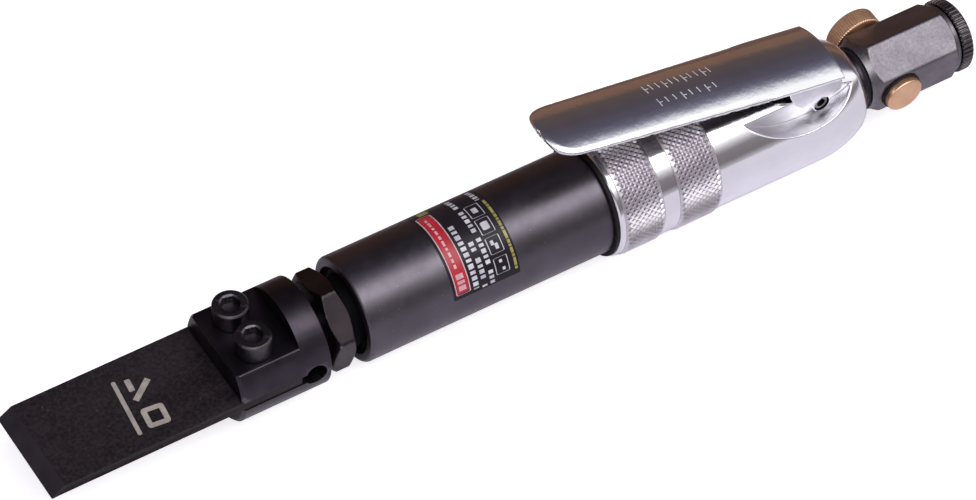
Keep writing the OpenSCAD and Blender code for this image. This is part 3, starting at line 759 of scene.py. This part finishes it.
def pocket_section(x, angles):
    """The handle's outline at one place, with the flats milled for the lever's ears."""
    full = np.full(angles.shape, handle_radius(x))
    reach = pocket_r ** 2 - (x - pocket_x) ** 2
    lift = np.cos(angles)
    side = np.abs(np.sin(angles))
    if reach <= 0:
        return full
    floor = pocket_centre_z - math.sqrt(reach)
    wall = web_half / np.maximum(side, 0.02)
    ground = np.where(lift > 0.03, floor / np.maximum(lift, 0.03), 99.0)
    return smaller(full, np.where(ground > 60, 99.0, larger(wall, np.minimum(ground, 60), 0.3)), 0.35)


def make_handle():
    front, rear = handle_low[0], handle_high[0]
    angles = handle_angles()
    outer = [(front, 13.0), (front, handle_r - 0.8, 0.2), (front + 0.6, handle_r, 0.3)]
    for start, end in knurl_bands:
        outer += [(start - 0.05, handle_r, 0.03), (start + 0.05, handle_r - 0.5, 0),
                  (end - 0.05, handle_r - 0.5, 0), (end + 0.05, handle_r, 0.03)]
    outer.append((-85.0, handle_r))
    rings = [ring(x, r, angles) for x, r in fillet(outer, 0.2)]
    stations = np.concatenate([np.arange(-84.5, rear - 0.4, 0.4), [rear - 0.3, rear - 0.12]])
    rings += [ring(x, pocket_section(x, angles), angles) for x in stations]
    inner = fillet([(rear, 9.4), (rear, 7.0, 0.3), (-50.5, 7.0), (-50.5, 3.5), (-67.0, 3.5), (-67.0, 2.4),
                    (-88.0, 2.4), (-88.0, 13.0), (front, 13.0)], 0.1)
    rings += [ring(x, r, angles) for x, r in inner[:-1]]
    piece = skin("handle", rings, handle_steel, closed=True, sharp=40)
    paint(piece, milled_steel, in_pocket)
    stem_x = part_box("throttle_stem")[0][0] / MM + 4.2
    plug_bore = moved(rod_cutter(-20, 5, 5.02, 96), along_z(stem_x))
    stem_bore = moved(rod_cutter(3, 20, 2.05, 48), along_z(stem_x))
    pin_bore = moved(rod_cutter(-web_half - 1, web_half + 1, 2.02, 48), along_y(*pin_centre()))
    combine(piece, [plug_bore, stem_bore, pin_bore], sharp=38)
    return place(piece, "tool_body", "polished_steel", "handle_housing")


def in_pocket(centre, _):
    x, y, z = centre
    depth = handle_radius(x) - math.hypot(y, z)
    return -84 < x < handle_high[0] - 0.1 and 0.06 < depth < 9 and abs(y) > web_half - 0.4


def pin_centre():
    x, _, z = joints["lever_hinge"]["pos_m"]
    return x / MM, z / MM


def make_knurl(name, start, end):
    """A ring of small pits between two sets of crossing ridges."""
    cells, ridge_r, rim_r, pit_r, land = 62, 17.62, 17.3, 17.0, 0.26
    rows = round((end - start - 0.5) / 0.98)
    pitch = (end - start - 0.5) / rows
    half_turn = math.pi / cells
    points, faces = [], []

    def at(x, turn, radius):
        points.append((x, -radius * math.sin(turn), radius * math.cos(turn)))
        return len(points) - 1

    grid = [[at(start + 0.25 + row * pitch, (2 * i + row % 2) * half_turn,
                ridge_r if 0 < row < rows else rim_r) for i in range(cells)]
            for row in range(rows + 1)]
    for row in range(1, rows):
        x = start + 0.25 + row * pitch
        for i in range(cells):
            turn = (2 * i + (row + 1) % 2) * half_turn
            low_i = i if row % 2 == 0 else i - 1
            corners = [grid[row - 1][i], grid[row][(low_i + 1) % cells], grid[row + 1][i], grid[row][low_i]]
            pit = [at(x - pitch * land, turn, pit_r), at(x, turn + half_turn * land, pit_r),
                   at(x + pitch * land, turn, pit_r), at(x, turn - half_turn * land, pit_r)]
            for k in range(4):
                faces.append((corners[k], corners[(k + 1) % 4], pit[(k + 1) % 4], pit[k]))
            faces.append(tuple(pit))
    for row in (0, rows):
        beside = 1 if row == 0 else rows - 1
        for i in range(cells):
            after = (i + 1) % cells
            mid = i if row % 2 == 0 else after
            faces.append((grid[row][i], grid[row][after], grid[beside][mid]))
    rims = []
    for row, x in ((0, start), (rows, end)):
        step = row % 2
        shoulder = [at(x, (2 * i + step) * half_turn, 17.12) for i in range(cells)]
        inside = [at(x, (2 * i + step) * half_turn, 16.5) for i in range(cells)]
        rims.append((step, inside))
        for i in range(cells):
            after = (i + 1) % cells
            faces.append((grid[row][i], grid[row][after], shoulder[after], shoulder[i]))
            faces.append((shoulder[i], shoulder[after], inside[after], inside[i]))
    for i in range(cells):
        after = (i + 1) % cells
        faces.append((rims[0][1][i], rims[0][1][after], rims[1][1][after], rims[1][1][i]))
    piece = solid(name, points, faces, knurl_steel, sharp=12)
    return place(piece, "tool_body", "polished_steel")


# ---------------------------------------------------------------- throttle lever and its valve

def lever_ridge(x):
    """Height of the lever's ridge along X: straight from over the pin up to the tip."""
    slope = math.tan(math.radians(10.4))
    return 21.9 + slope * (pin_centre()[0] - x)


def lever_half(x):
    """Half width of the lever in plan: a rounded tip, then slightly wider towards the ears."""
    low, high = span("throttle_lever")
    tip, ear_front, nose = low[0], -65.5, 7.5
    wide = 9.4 + (high[1] - 9.4) * min(max((x - tip) / (ear_front - tip), 0), 1)
    return wide * math.sin(math.acos(min(max(1 - (x - tip) / nose, 0), 1))) ** 0.75


def lever_plan():
    """Points along one side of the lever's plan outline, close together."""
    low, high = span("throttle_lever")
    near_tip = low[0] + 7.5 * (1 - np.cos(np.linspace(0, math.pi / 2, 90)))
    xs = np.concatenate([near_tip, np.arange(low[0] + 7.6, high[0], 0.5), [high[0]]])
    return np.array([(x, lever_half(x)) for x in xs])


def lever_height(x, y, plan):
    """Height of the lever's upper face: an arch on the sloping ridge, turned down at its edge."""
    arch_r, slope = 22.5, math.cos(math.radians(10.4))
    edge = np.min(np.hypot(plan[:, 0] - x, plan[:, 1] - abs(y)))
    fade = min(max((-68.0 - x) / 4, 0), 1)
    turn_down = 0.3 * max(1 - edge / 1.3, 0) ** 2 * fade
    return lever_ridge(x) - (arch_r - math.sqrt(arch_r ** 2 - y * y)) / slope - turn_down


def unit(vectors):
    return vectors / np.linalg.norm(vectors, axis=-1)[..., None]


def lever_sheet():
    """The arched upper face as a grid of points, with the normal at each."""
    low, high = span("throttle_lever")
    share = np.sin(np.linspace(-math.pi / 2, math.pi / 2, 41)) * 0.75 + np.linspace(-1, 1, 41) * 0.25
    tip_rows = low[0] + 7.5 * (1 - np.cos(np.radians(np.concatenate([[2, 4, 7, 10.5], np.arange(15, 90, 5)]))))
    rows = np.concatenate([tip_rows, np.arange(low[0] + 7.5, high[0] - 0.3, 1.3), [high[0]]])
    plan, step = lever_plan(), 0.05
    grid = np.zeros((len(rows), len(share), 3))
    normal = np.zeros(grid.shape)
    for i, x in enumerate(rows):
        for j, t in enumerate(share):
            y = lever_half(x) * t
            z = lever_height(x, y, plan)
            inward = -step if t > 0 else step
            rise_x = (lever_height(x + step, y, plan) - z) / step
            rise_y = (lever_height(x, y + inward, plan) - z) / inward
            grid[i, j] = (x, y, z)
            normal[i, j] = (-rise_x, -rise_y, 1)
    return grid, unit(normal)


def rim_of(rows, columns):
    """Indices of a grid's outer loop, in order."""
    loop = [(0, j) for j in range(columns)] + [(i, columns - 1) for i in range(1, rows)]
    loop += [(rows - 1, j) for j in range(columns - 2, -1, -1)] + [(i, 0) for i in range(rows - 2, 0, -1)]
    return loop


def make_sheet(name, grid, normal, thickness, finish, bulge=0.4, steps=6):
    """Thickens a grid downwards and rounds its rim."""
    rows, columns = grid.shape[:2]
    below = grid - normal * thickness
    points = [tuple(p) for p in grid.reshape(-1, 3)] + [tuple(p) for p in below.reshape(-1, 3)]
    size = rows * columns
    faces = []
    for i in range(rows - 1):
        for j in range(columns - 1):
            quad = (i * columns + j, (i + 1) * columns + j, (i + 1) * columns + j + 1, i * columns + j + 1)
            faces += [quad, tuple(size + k for k in quad)]
    loop = rim_of(rows, columns)
    rim = np.array([grid[i, j] for i, j in loop])
    up = np.array([normal[i, j] for i, j in loop])
    along = unit(np.roll(rim, -1, 0) - rim) + unit(rim - np.roll(rim, 1, 0))
    out = unit(np.cross(up, along))
    out *= np.sign(np.sum(out * (rim - rim.mean(0)), 1))[:, None]
    bands = [[i * columns + j for i, j in loop]]
    for step in range(1, steps):
        a = math.pi * step / steps
        arc = rim - up * thickness * (1 - math.cos(a)) / 2 + out * bulge * math.sin(a)
        start = len(points)
        points += [tuple(p) for p in arc]
        bands.append(list(range(start, start + len(loop))))
    bands.append([size + i * columns + j for i, j in loop])
    for first, second in zip(bands, bands[1:]):
        for k in range(len(loop)):
            after = (k + 1) % len(loop)
            faces.append((first[k], first[after], second[after], second[k]))
    return solid(name, points, faces, finish, sharp=60)


def ear_outline():
    """One ear seen from the side: a broad plate that narrows to a foot round the pin."""
    x, z = pin_centre()
    end = span("throttle_lever")[1][0] - 0.5
    foot = 2.8
    top = [(-65.2, lever_ridge(-65.2) - 3.6), (end, lever_ridge(end) - 3.6)]
    rear = [(end, 14.6), (end, 13.4), (x + foot * 0.94, z + 1.0)]
    arc = [(x + foot * math.cos(a), z + foot * math.sin(a)) for a in np.radians(np.arange(10, -221, -14))]
    front = [(-59.0, 10.3), (-63.4, 15.0), (-65.0, 18.6)]
    return top + rear + arc + front


def make_lever():
    sheet = make_sheet("lever", *lever_sheet(), 1.45, mirror_steel)
    x, z = pin_centre()
    ears = []
    for y0, y1 in ((9.55, 10.96), (-10.96, -9.55)):
        ear = extruded("ear", ear_outline(), y0, y1, mirror_steel)
        combine(ear, [moved(rod_cutter(-12, 12, 2.4, 48), along_y(x, z))])
        soften(ear, 0.18, 2, 40)
        ears.append(ear)
    combine(sheet, ears, "UNION", 45)
    paint(sheet, milled_steel, lambda centre, normal: abs(normal[1]) > 0.9 and 10.9 < abs(centre[1]) < 10.98)
    # painted shade: the ear holes and a thin ring round the pin are painted near-black
    paint(sheet, gap_black, lambda centre, normal: math.hypot(centre[0] - x, centre[2] - z) < 2.5)
    return place(sheet, "lever", "lever_chrome", "throttle_lever")


def make_lever_marks():
    """Two rows of fine engraved ticks on the lever, with no letters."""
    marks = Marks()
    for v, start, count, step, tall in ((-4.6, -104.5, 11, 2.1, 3.2), (1.4, -103.5, 8, 2.6, 2.6)):
        for i in range(count):
            length = tall * (0.82 + 0.18 * math.cos(2.1 * i))
            u = start + i * step
            marks.slanted(u, v, u + 0.3, v + length, 0.3)
            if i % 3 == 0:
                marks.slanted(u + 0.2, v + length * 0.5, u + 1.3, v + length * 0.5, 0.26)

    def on_lever(u, v, level):
        drop = 22.5 - math.sqrt(22.5 ** 2 - v * v)
        return u, -v, lever_ridge(u) - drop - 0.03 + 0.045 * level

    return place(marks.build("lever_ticks", on_lever, print_white), "lever", "lever_chrome")


def make_pin():
    """A rolled spring pin: a slit tube."""
    low, high = span("lever_pin")
    gap = math.radians(8)
    arc = np.linspace(gap, 2 * math.pi - gap, 40)
    section = [(2.0 * math.sin(a), 2.0 * math.cos(a)) for a in arc] \
        + [(1.3 * math.sin(a), 1.3 * math.cos(a)) for a in arc[::-1]]
    x, z = pin_centre()
    outline = [(x + u, z + v) for u, v in section]
    piece = extruded("hinge_pin", outline, low[1], high[1], pin_steel)
    return place(piece, "tool_body", "pin_steel", "lever_pin")


def make_stem():
    low, high = span("throttle_stem")
    seat = 4.2
    outline = [(low[2], 0), (low[2], 1.8), (seat - 2.5, 1.8, 0.1), (seat - 2.5, 4.2), (seat, 4.2, 0.1),
               (seat, 2.0, 0.1), (high[2], 2.0, 0.6), (high[2], 0)]
    piece = turned("valve_stem", outline, bright_steel, 0.2, 64)
    moved(piece, along_z(low[0] + 4.2))
    return place(piece, "throttle", "bright_steel", "throttle_stem")


def make_plug():
    low, high = span("throttle_plug")
    top = high[2]
    outline = [(low[2], 0), (low[2], 5.0, 0.4), (top - 2.8, 5.0, 0.1), (top - 2.8, 3.7, 0.1),
               (top - 1.0, 3.7, 0.1), (top - 1.0, 5.0, 0.1), (top, 5.0, 0.2), (top, 0)]
    piece = turned("valve_plug", outline, bright_steel, 0.2, 96)
    moved(piece, along_z(low[0] + 5.0))
    x = low[0] + 5.0
    slot = cutter(box_mesh((x - 7, -0.8, low[2] - 1), (x + 7, 0.8, low[2] + 1.6)))
    combine(piece, [slot], sharp=30)
    return place(piece, "tool_body", "polished_steel", "throttle_plug")


def make_spring():
    """A coil spring for the throttle stem."""
    low, high = span("throttle_spring")
    wire, mean, coils, sides, per_turn = 0.35, 2.9, 5, 10, 28
    x = (low[0] + high[0]) / 2
    bottom, top = low[2] + wire, high[2] - wire
    rings = []
    for i in range(coils * per_turn + 1):
        turn = 2 * math.pi * i / per_turn
        z = bottom + (top - bottom) * i / (coils * per_turn)
        rings.append([(x + (mean + wire * math.cos(a)) * math.cos(turn),
                       (mean + wire * math.cos(a)) * math.sin(turn), z + wire * math.sin(a))
                      for a in turns(sides)])
    piece = skin("valve_spring", rings, bright_steel)
    place(piece, "tool_body", "bright_steel", "throttle_spring")
    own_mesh(piece)
    return piece


# ---------------------------------------------------------------- air inlet and regulator

regulator_low, regulator_high = span("regulator_body")
regulator_clock = math.radians(3)
spool_x = joints["regulator_turn"]["pos_m"][0] / MM


def make_bushing():
    low, high = span("inlet_bushing")
    face, flange = -36.9, -35.9
    outline = [(low[0], 3.5), (low[0], 7.0, 0.5), (face, 7.0, 0.05), (face, 9.6, 0.35), (flange, 9.6, 0.25),
               (flange, 6.0, 0.05), (high[0], 6.0), (high[0], 3.5)]
    piece = turned("inlet_screw", outline, holder_black, 0.15, 128, closed=True)
    return place(piece, "tool_body", "black_oxide", "inlet_bushing")


def make_washer():
    low, high = span("bushing_washer")
    outline = [(low[0], 6.0), (low[0], high[1], 0.3), (high[0], high[1], 0.3), (high[0], 6.0)]
    piece = turned("seal_washer", outline, rubber_black, 0.1, 128, closed=True)
    return place(piece, "tool_body", "rubber", "bushing_washer")


def make_regulator():
    front, hex_start, hex_end, neck_end = regulator_low[0], -32.6, -5.5, -4.3
    across, round_r, stub_r, thread_r, depth = 20.0, 10.0, 8.4, 5.72, 10.0
    angles = turns(288)
    flats = hexagon(angles, across, 0.2, -regulator_clock)
    corner_r = across / math.sqrt(3) + 0.3

    def section(x, cone):
        return ring(x, smaller(flats, np.full(angles.shape, cone), 0.18), angles)

    slope = np.linspace(0, 1, 10)
    rings = [ring(front, 6.0, angles), ring(front, 9.3, angles), ring(front + 0.12, 9.55, angles),
             ring(hex_start - 0.25, round_r - 0.02, angles), ring(hex_start - 0.05, round_r - 0.02, angles)]
    rings += [section(hex_start + 1.5 * s, round_r + (corner_r - round_r) * s) for s in slope]
    rings += [section(x, corner_r) for x in np.arange(hex_start + 3.5, hex_end - 3, 2.0)]
    rings += [section(hex_end - 1.5 * s, round_r + (corner_r - round_r) * s) for s in slope[::-1]]
    neck = fillet([(hex_end + 0.05, round_r), (hex_end + 0.1, round_r, 0), (neck_end, round_r, 0.3),
                   (neck_end, stub_r, 0.1), (0, stub_r, 0.4), (0, 6.9, 0.1), (-0.9, thread_r + 0.05, 0)], 0.1)
    rings += [ring(x, r, angles) for x, r in neck[1:]]
    pitch = 1.41
    for x in np.arange(-1.0, -depth + 1.2, -0.2):
        wave = np.abs(np.mod(x / pitch + angles / (2 * math.pi), 1.0) * 2 - 1)
        rings.append(ring(x, thread_r - 0.02 + 0.55 * wave, angles))
    inside = [(-depth + 1.0, thread_r), (-depth, thread_r), (-depth, 5.2), (-depth - 1.4, 5.2),
              (-depth - 1.4, 3.6), (-30.2, 3.6), (-30.2, 6.0)]
    rings += [ring(x, r, angles) for x, r in inside]
    piece = skin("regulator", rings, anodised, closed=True, sharp=30)
    bore = moved(moved(rod_cutter(-14, 14, 4.0, 64), along_y(spool_x, 0)), Matrix.Rotation(regulator_clock, 4, "X"))
    combine(piece, [bore], sharp=30)
    return place(piece, "tool_body", "black_anodised", "regulator_body")


def on_spool(piece):
    """Moves a piece made about X to the spool's axis, +X becoming the knob's side."""
    return moved(piece, Matrix.Rotation(regulator_clock, 4, "X") @ along_y(spool_x, 0))


def make_knob():
    """The spool with its finely ribbed knob."""
    ribs = 60
    angles = turns(ribs * 8)
    start, end, radius = 10.4, 15.6, 7.9
    wave = 0.5 - 0.5 * np.cos(ribs * angles)
    rings = [ring(-10.7, 0, angles), ring(-10.7, 3.8, angles), ring(-10.5, 3.94, angles)]
    for y in (-6.6, 6.6):
        rings += [ring(y - 0.8, 3.94, angles), ring(y - 0.8, 2.8, angles), ring(y + 0.8, 2.8, angles),
                  ring(y + 0.8, 3.94, angles)]
    edge, depth = 0.45, 0.25
    rings += [ring(start, 3.94, angles), ring(start, radius - edge - depth, angles)]
    for step in np.linspace(0.2, 1, 5):
        lift = edge * math.sin(step * math.pi / 2)
        rings.append(ring(start + edge * (1 - math.cos(step * math.pi / 2)),
                          radius - edge + lift - depth * (1 - step + wave * step), angles))
    for step in np.linspace(1, 0.2, 5):
        lift = edge * math.sin(step * math.pi / 2)
        rings.append(ring(end - edge * (1 - math.cos(step * math.pi / 2)),
                          radius - edge + lift - depth * (1 - step + wave * step), angles))
    rings.append(ring(end, radius - edge - depth, angles))
    rings += [ring(end, 5.0, angles), ring(end - 0.35, 4.6, angles), ring(end - 0.35, 0, angles)]
    piece = on_spool(skin("regulator_knob", rings, knob_brass, sharp=45))
    return place(piece, "regulator", "brass", "regulator_spool")


def make_button():
    outline = [(-12.7, 0), (-12.7, 5.6, 0.7), (-10.7, 5.6, 0.1), (-10.7, 1.5, 0.05), (-7.0, 1.48), (-7.0, 0)]
    piece = on_spool(turned("regulator_button", outline, button_brass, 0.1, 96))
    return place(piece, "regulator", "brass", "spool_button")


def make_button_washer():
    outline = [(-10.7, 3.96), (-10.7, 6.1, 0.2), (-10.06, 6.1, 0.15), (-10.06, 3.96)]
    piece = on_spool(turned("button_seal", outline, rubber_black, 0.1, 96, closed=True))
    return place(piece, "regulator", "rubber", "button_washer")


def make_inlet_ring():
    """The ribbed ring round the inlet."""
    low, high = span("inlet_ring")
    ribs, outer, inner = 48, high[1], 8.42
    angles = turns(ribs * 10)
    valley = np.clip(1.6 * np.cos(ribs * angles) - 0.35, 0, 1)
    start = low[0]
    profile = [(start, inner, 0), (start, outer - 0.7, 0.1), (start + 0.12, outer - 0.3, 0.7),
               (start + 0.4, outer, 1), (-1.1, outer, 1), (-0.7, outer - 0.3, 0.95), (-0.25, outer - 0.8, 0.4),
               (0, outer - 1.2, 0), (0, inner, 0)]
    rings = [ring(x, r - 0.5 * depth * valley, angles) for x, r, depth in profile]
    piece = skin("inlet_collar", rings, ring_grey, closed=True, sharp=32)
    return place(piece, "tool_body", "black_anodised", "inlet_ring")


# ---------------------------------------------------------------- carried-over CAD nodes

def finish_internals():
    """Gives every CAD node that stays a full material of its own."""
    finishes = {
        "shank_collar": bright_steel, "hammer_piston": bright_steel, "valve_case": bright_steel,
        "valve_disc": bright_steel, "valve_cap": bright_steel, "valve_dowel": bright_steel,
        "inlet_screen": bright_steel, "gland_o_ring": rubber_black, "valve_o_ring": rubber_black,
        "stem_face_seal": rubber_black, "stem_o_ring": rubber_black, "plug_o_ring": rubber_black,
        "spool_o_rings": rubber_black, "front_bumper": amber,
    }
    for node, finish in finishes.items():
        mesh = frame["nodes"][node].data
        mesh.materials.clear()
        mesh.materials.append(finish)


# ---------------------------------------------------------------- stage

def make_floor():
    """A plain pale sheet just under the tool."""
    size = 4.0
    z = cad_low[2] - 0.0005
    mesh = bpy.data.meshes.new("floor")
    mesh.from_pydata([(-size, -size, z), (size, -size, z), (size, size, z), (-size, size, z)], [], [(0, 1, 2, 3)])
    floor = bpy.data.objects.new("floor", mesh)
    bpy.context.scene.collection.objects.link(floor)
    material = bpy.data.materials.new("floor_paper")
    material.use_nodes = True
    tree = material.node_tree
    tree.nodes.clear()
    grain = remap(tree, noise(tree, 400), 0.3, 0.7, 0.0, 1.0)
    colour = mixed(tree, grain, (0.79, 0.77, 0.85), (0.84, 0.82, 0.9))
    place = add(tree, "ShaderNodeSeparateXYZ", n0=add(tree, "ShaderNodeTexCoord").outputs["Object"])
    behind = remap(tree, place.outputs[1], 0.02, 0.1, 0.0, 1.0)
    mirrored = add(tree, "ShaderNodeLightPath").outputs["Is Glossy Ray"]
    amount = add(tree, "ShaderNodeMath", {"operation": "MULTIPLY"}, n0=behind, n1=mirrored).outputs[0]
    colour = mixed(tree, amount, colour, (0.2, 0.12, 0.09))
    paper = add(tree, "ShaderNodeBsdfDiffuse", Color=colour)
    camera_ray = add(tree, "ShaderNodeLightPath").outputs["Is Camera Ray"]
    glow = add(tree, "ShaderNodeEmission", Color=rgba((1, 1, 1)), Strength=remap(tree, camera_ray, 0, 1, 0.0, 0.68))
    total = add(tree, "ShaderNodeAddShader")
    tree.links.new(paper.outputs[0], total.inputs[0])
    tree.links.new(glow.outputs[0], total.inputs[1])
    output = add(tree, "ShaderNodeOutputMaterial")
    tree.links.new(total.outputs[0], output.inputs[0])
    mesh.materials.append(material)


def make_world():
    """Studio surroundings: a white bank of light above the front, darker behind and at the horizon."""
    world = bpy.data.worlds.new("studio")
    bpy.context.scene.world = world
    world.use_nodes = True
    tree = world.node_tree
    tree.nodes.clear()
    direction = add(tree, "ShaderNodeTexCoord").outputs["Generated"]
    parts = add(tree, "ShaderNodeSeparateXYZ", n0=direction)
    toward = add(tree, "ShaderNodeMath", {"operation": "MULTIPLY"}, n0=parts.outputs[1], n1=-1.0)
    angle = add(tree, "ShaderNodeMath", {"operation": "ARCTAN2"}, n0=toward.outputs[0], n1=parts.outputs[2])
    place_on_ramp = remap(tree, angle.outputs[0], -math.pi / 2, math.pi / 2, 0, 1)
    ramp = add(tree, "ShaderNodeValToRGB", n0=place_on_ramp)
    stops = [
        (-90, (0.20, 0.115, 0.08)), (-74, (0.19, 0.11, 0.08)), (-64, (0.10, 0.075, 0.07)),
        (-40, (0.08, 0.065, 0.08)), (-20, (0.09, 0.083, 0.115)), (-10, (0.13, 0.125, 0.17)),
        (-3, (0.25, 0.25, 0.31)), (5, (0.75, 0.75, 0.80)), (12, (1.1, 1.1, 1.1)), (42, (1.0, 1.0, 1.0)),
        (53, (0.5, 0.48, 0.5)), (61, (0.24, 0.21, 0.23)), (80, (0.19, 0.165, 0.18)), (90, (0.45, 0.43, 0.46)),
    ]
    elements = ramp.color_ramp.elements
    while len(elements) < len(stops):
        elements.new(0.5)
    for element, (degrees, colour) in zip(elements, stops):
        element.position = (degrees + 90) / 180
        element.color = rgba(colour)
    seen = add(tree, "ShaderNodeLightPath").outputs["Is Camera Ray"]
    shown = mixed(tree, seen, ramp.outputs[0], (0.93, 0.93, 0.94))
    back = add(tree, "ShaderNodeBackground", Color=shown, Strength=1.0)
    output = add(tree, "ShaderNodeOutputWorld")
    tree.links.new(back.outputs[0], output.inputs[0])


def make_lights():
    """One large soft bank above and in front, which is the bright band seen in the polished steel."""
    data = bpy.data.lights.new("bank", "AREA")
    data.shape = "RECTANGLE"
    data.size, data.size_y = 2.4, 0.8
    data.energy = 14
    bank = bpy.data.objects.new("bank", data)
    middle = Vector((-0.15, 0, 0))
    bank.location = middle + Vector((0.1, -0.62, 1.15)).normalized() * 1.6
    bank.rotation_mode = "QUATERNION"
    bank.rotation_quaternion = (middle - bank.location).to_track_quat("-Z", "Y")
    bpy.context.scene.collection.objects.link(bank)


def make_camera():
    data = bpy.data.cameras.new("camera")
    data.sensor_width = 36
    data.lens = 154.9
    data.shift_x, data.shift_y = 0.0025, -0.0049
    data.clip_start, data.clip_end = 0.01, 50
    camera = bpy.data.objects.new("camera", data)
    back = Vector((-0.358, -0.536, 0.765)).normalized()
    right = Vector((0.850, -0.527, 0.029))
    right = (right - back * right.dot(back)).normalized()
    up = back.cross(right)
    spin = Matrix((right, up, back)).transposed().to_4x4()
    target = Vector((-155.4 * MM, 0, 0))
    camera.matrix_world = Matrix.Translation(target + back * 1.13) @ spin
    bpy.context.scene.collection.objects.link(camera)
    bpy.context.scene.camera = camera


make_blade()
make_blade_mark()
make_holder()
make_screws()
make_nut()
make_barrel()
make_label()
make_exhaust_ring()
make_handle()
make_knurl("knurl_front", *knurl_bands[0])
make_knurl("knurl_rear", *knurl_bands[1])
make_lever()
make_lever_marks()
make_pin()
make_stem()
make_plug()
make_spring()
make_bushing()
make_washer()
make_regulator()
make_knob()
make_button()
make_button_washer()
make_inlet_ring()
finish_internals()
make_floor()
make_world()
make_lights()
make_camera()
bpy.context.scene.view_settings.view_transform = "Standard"
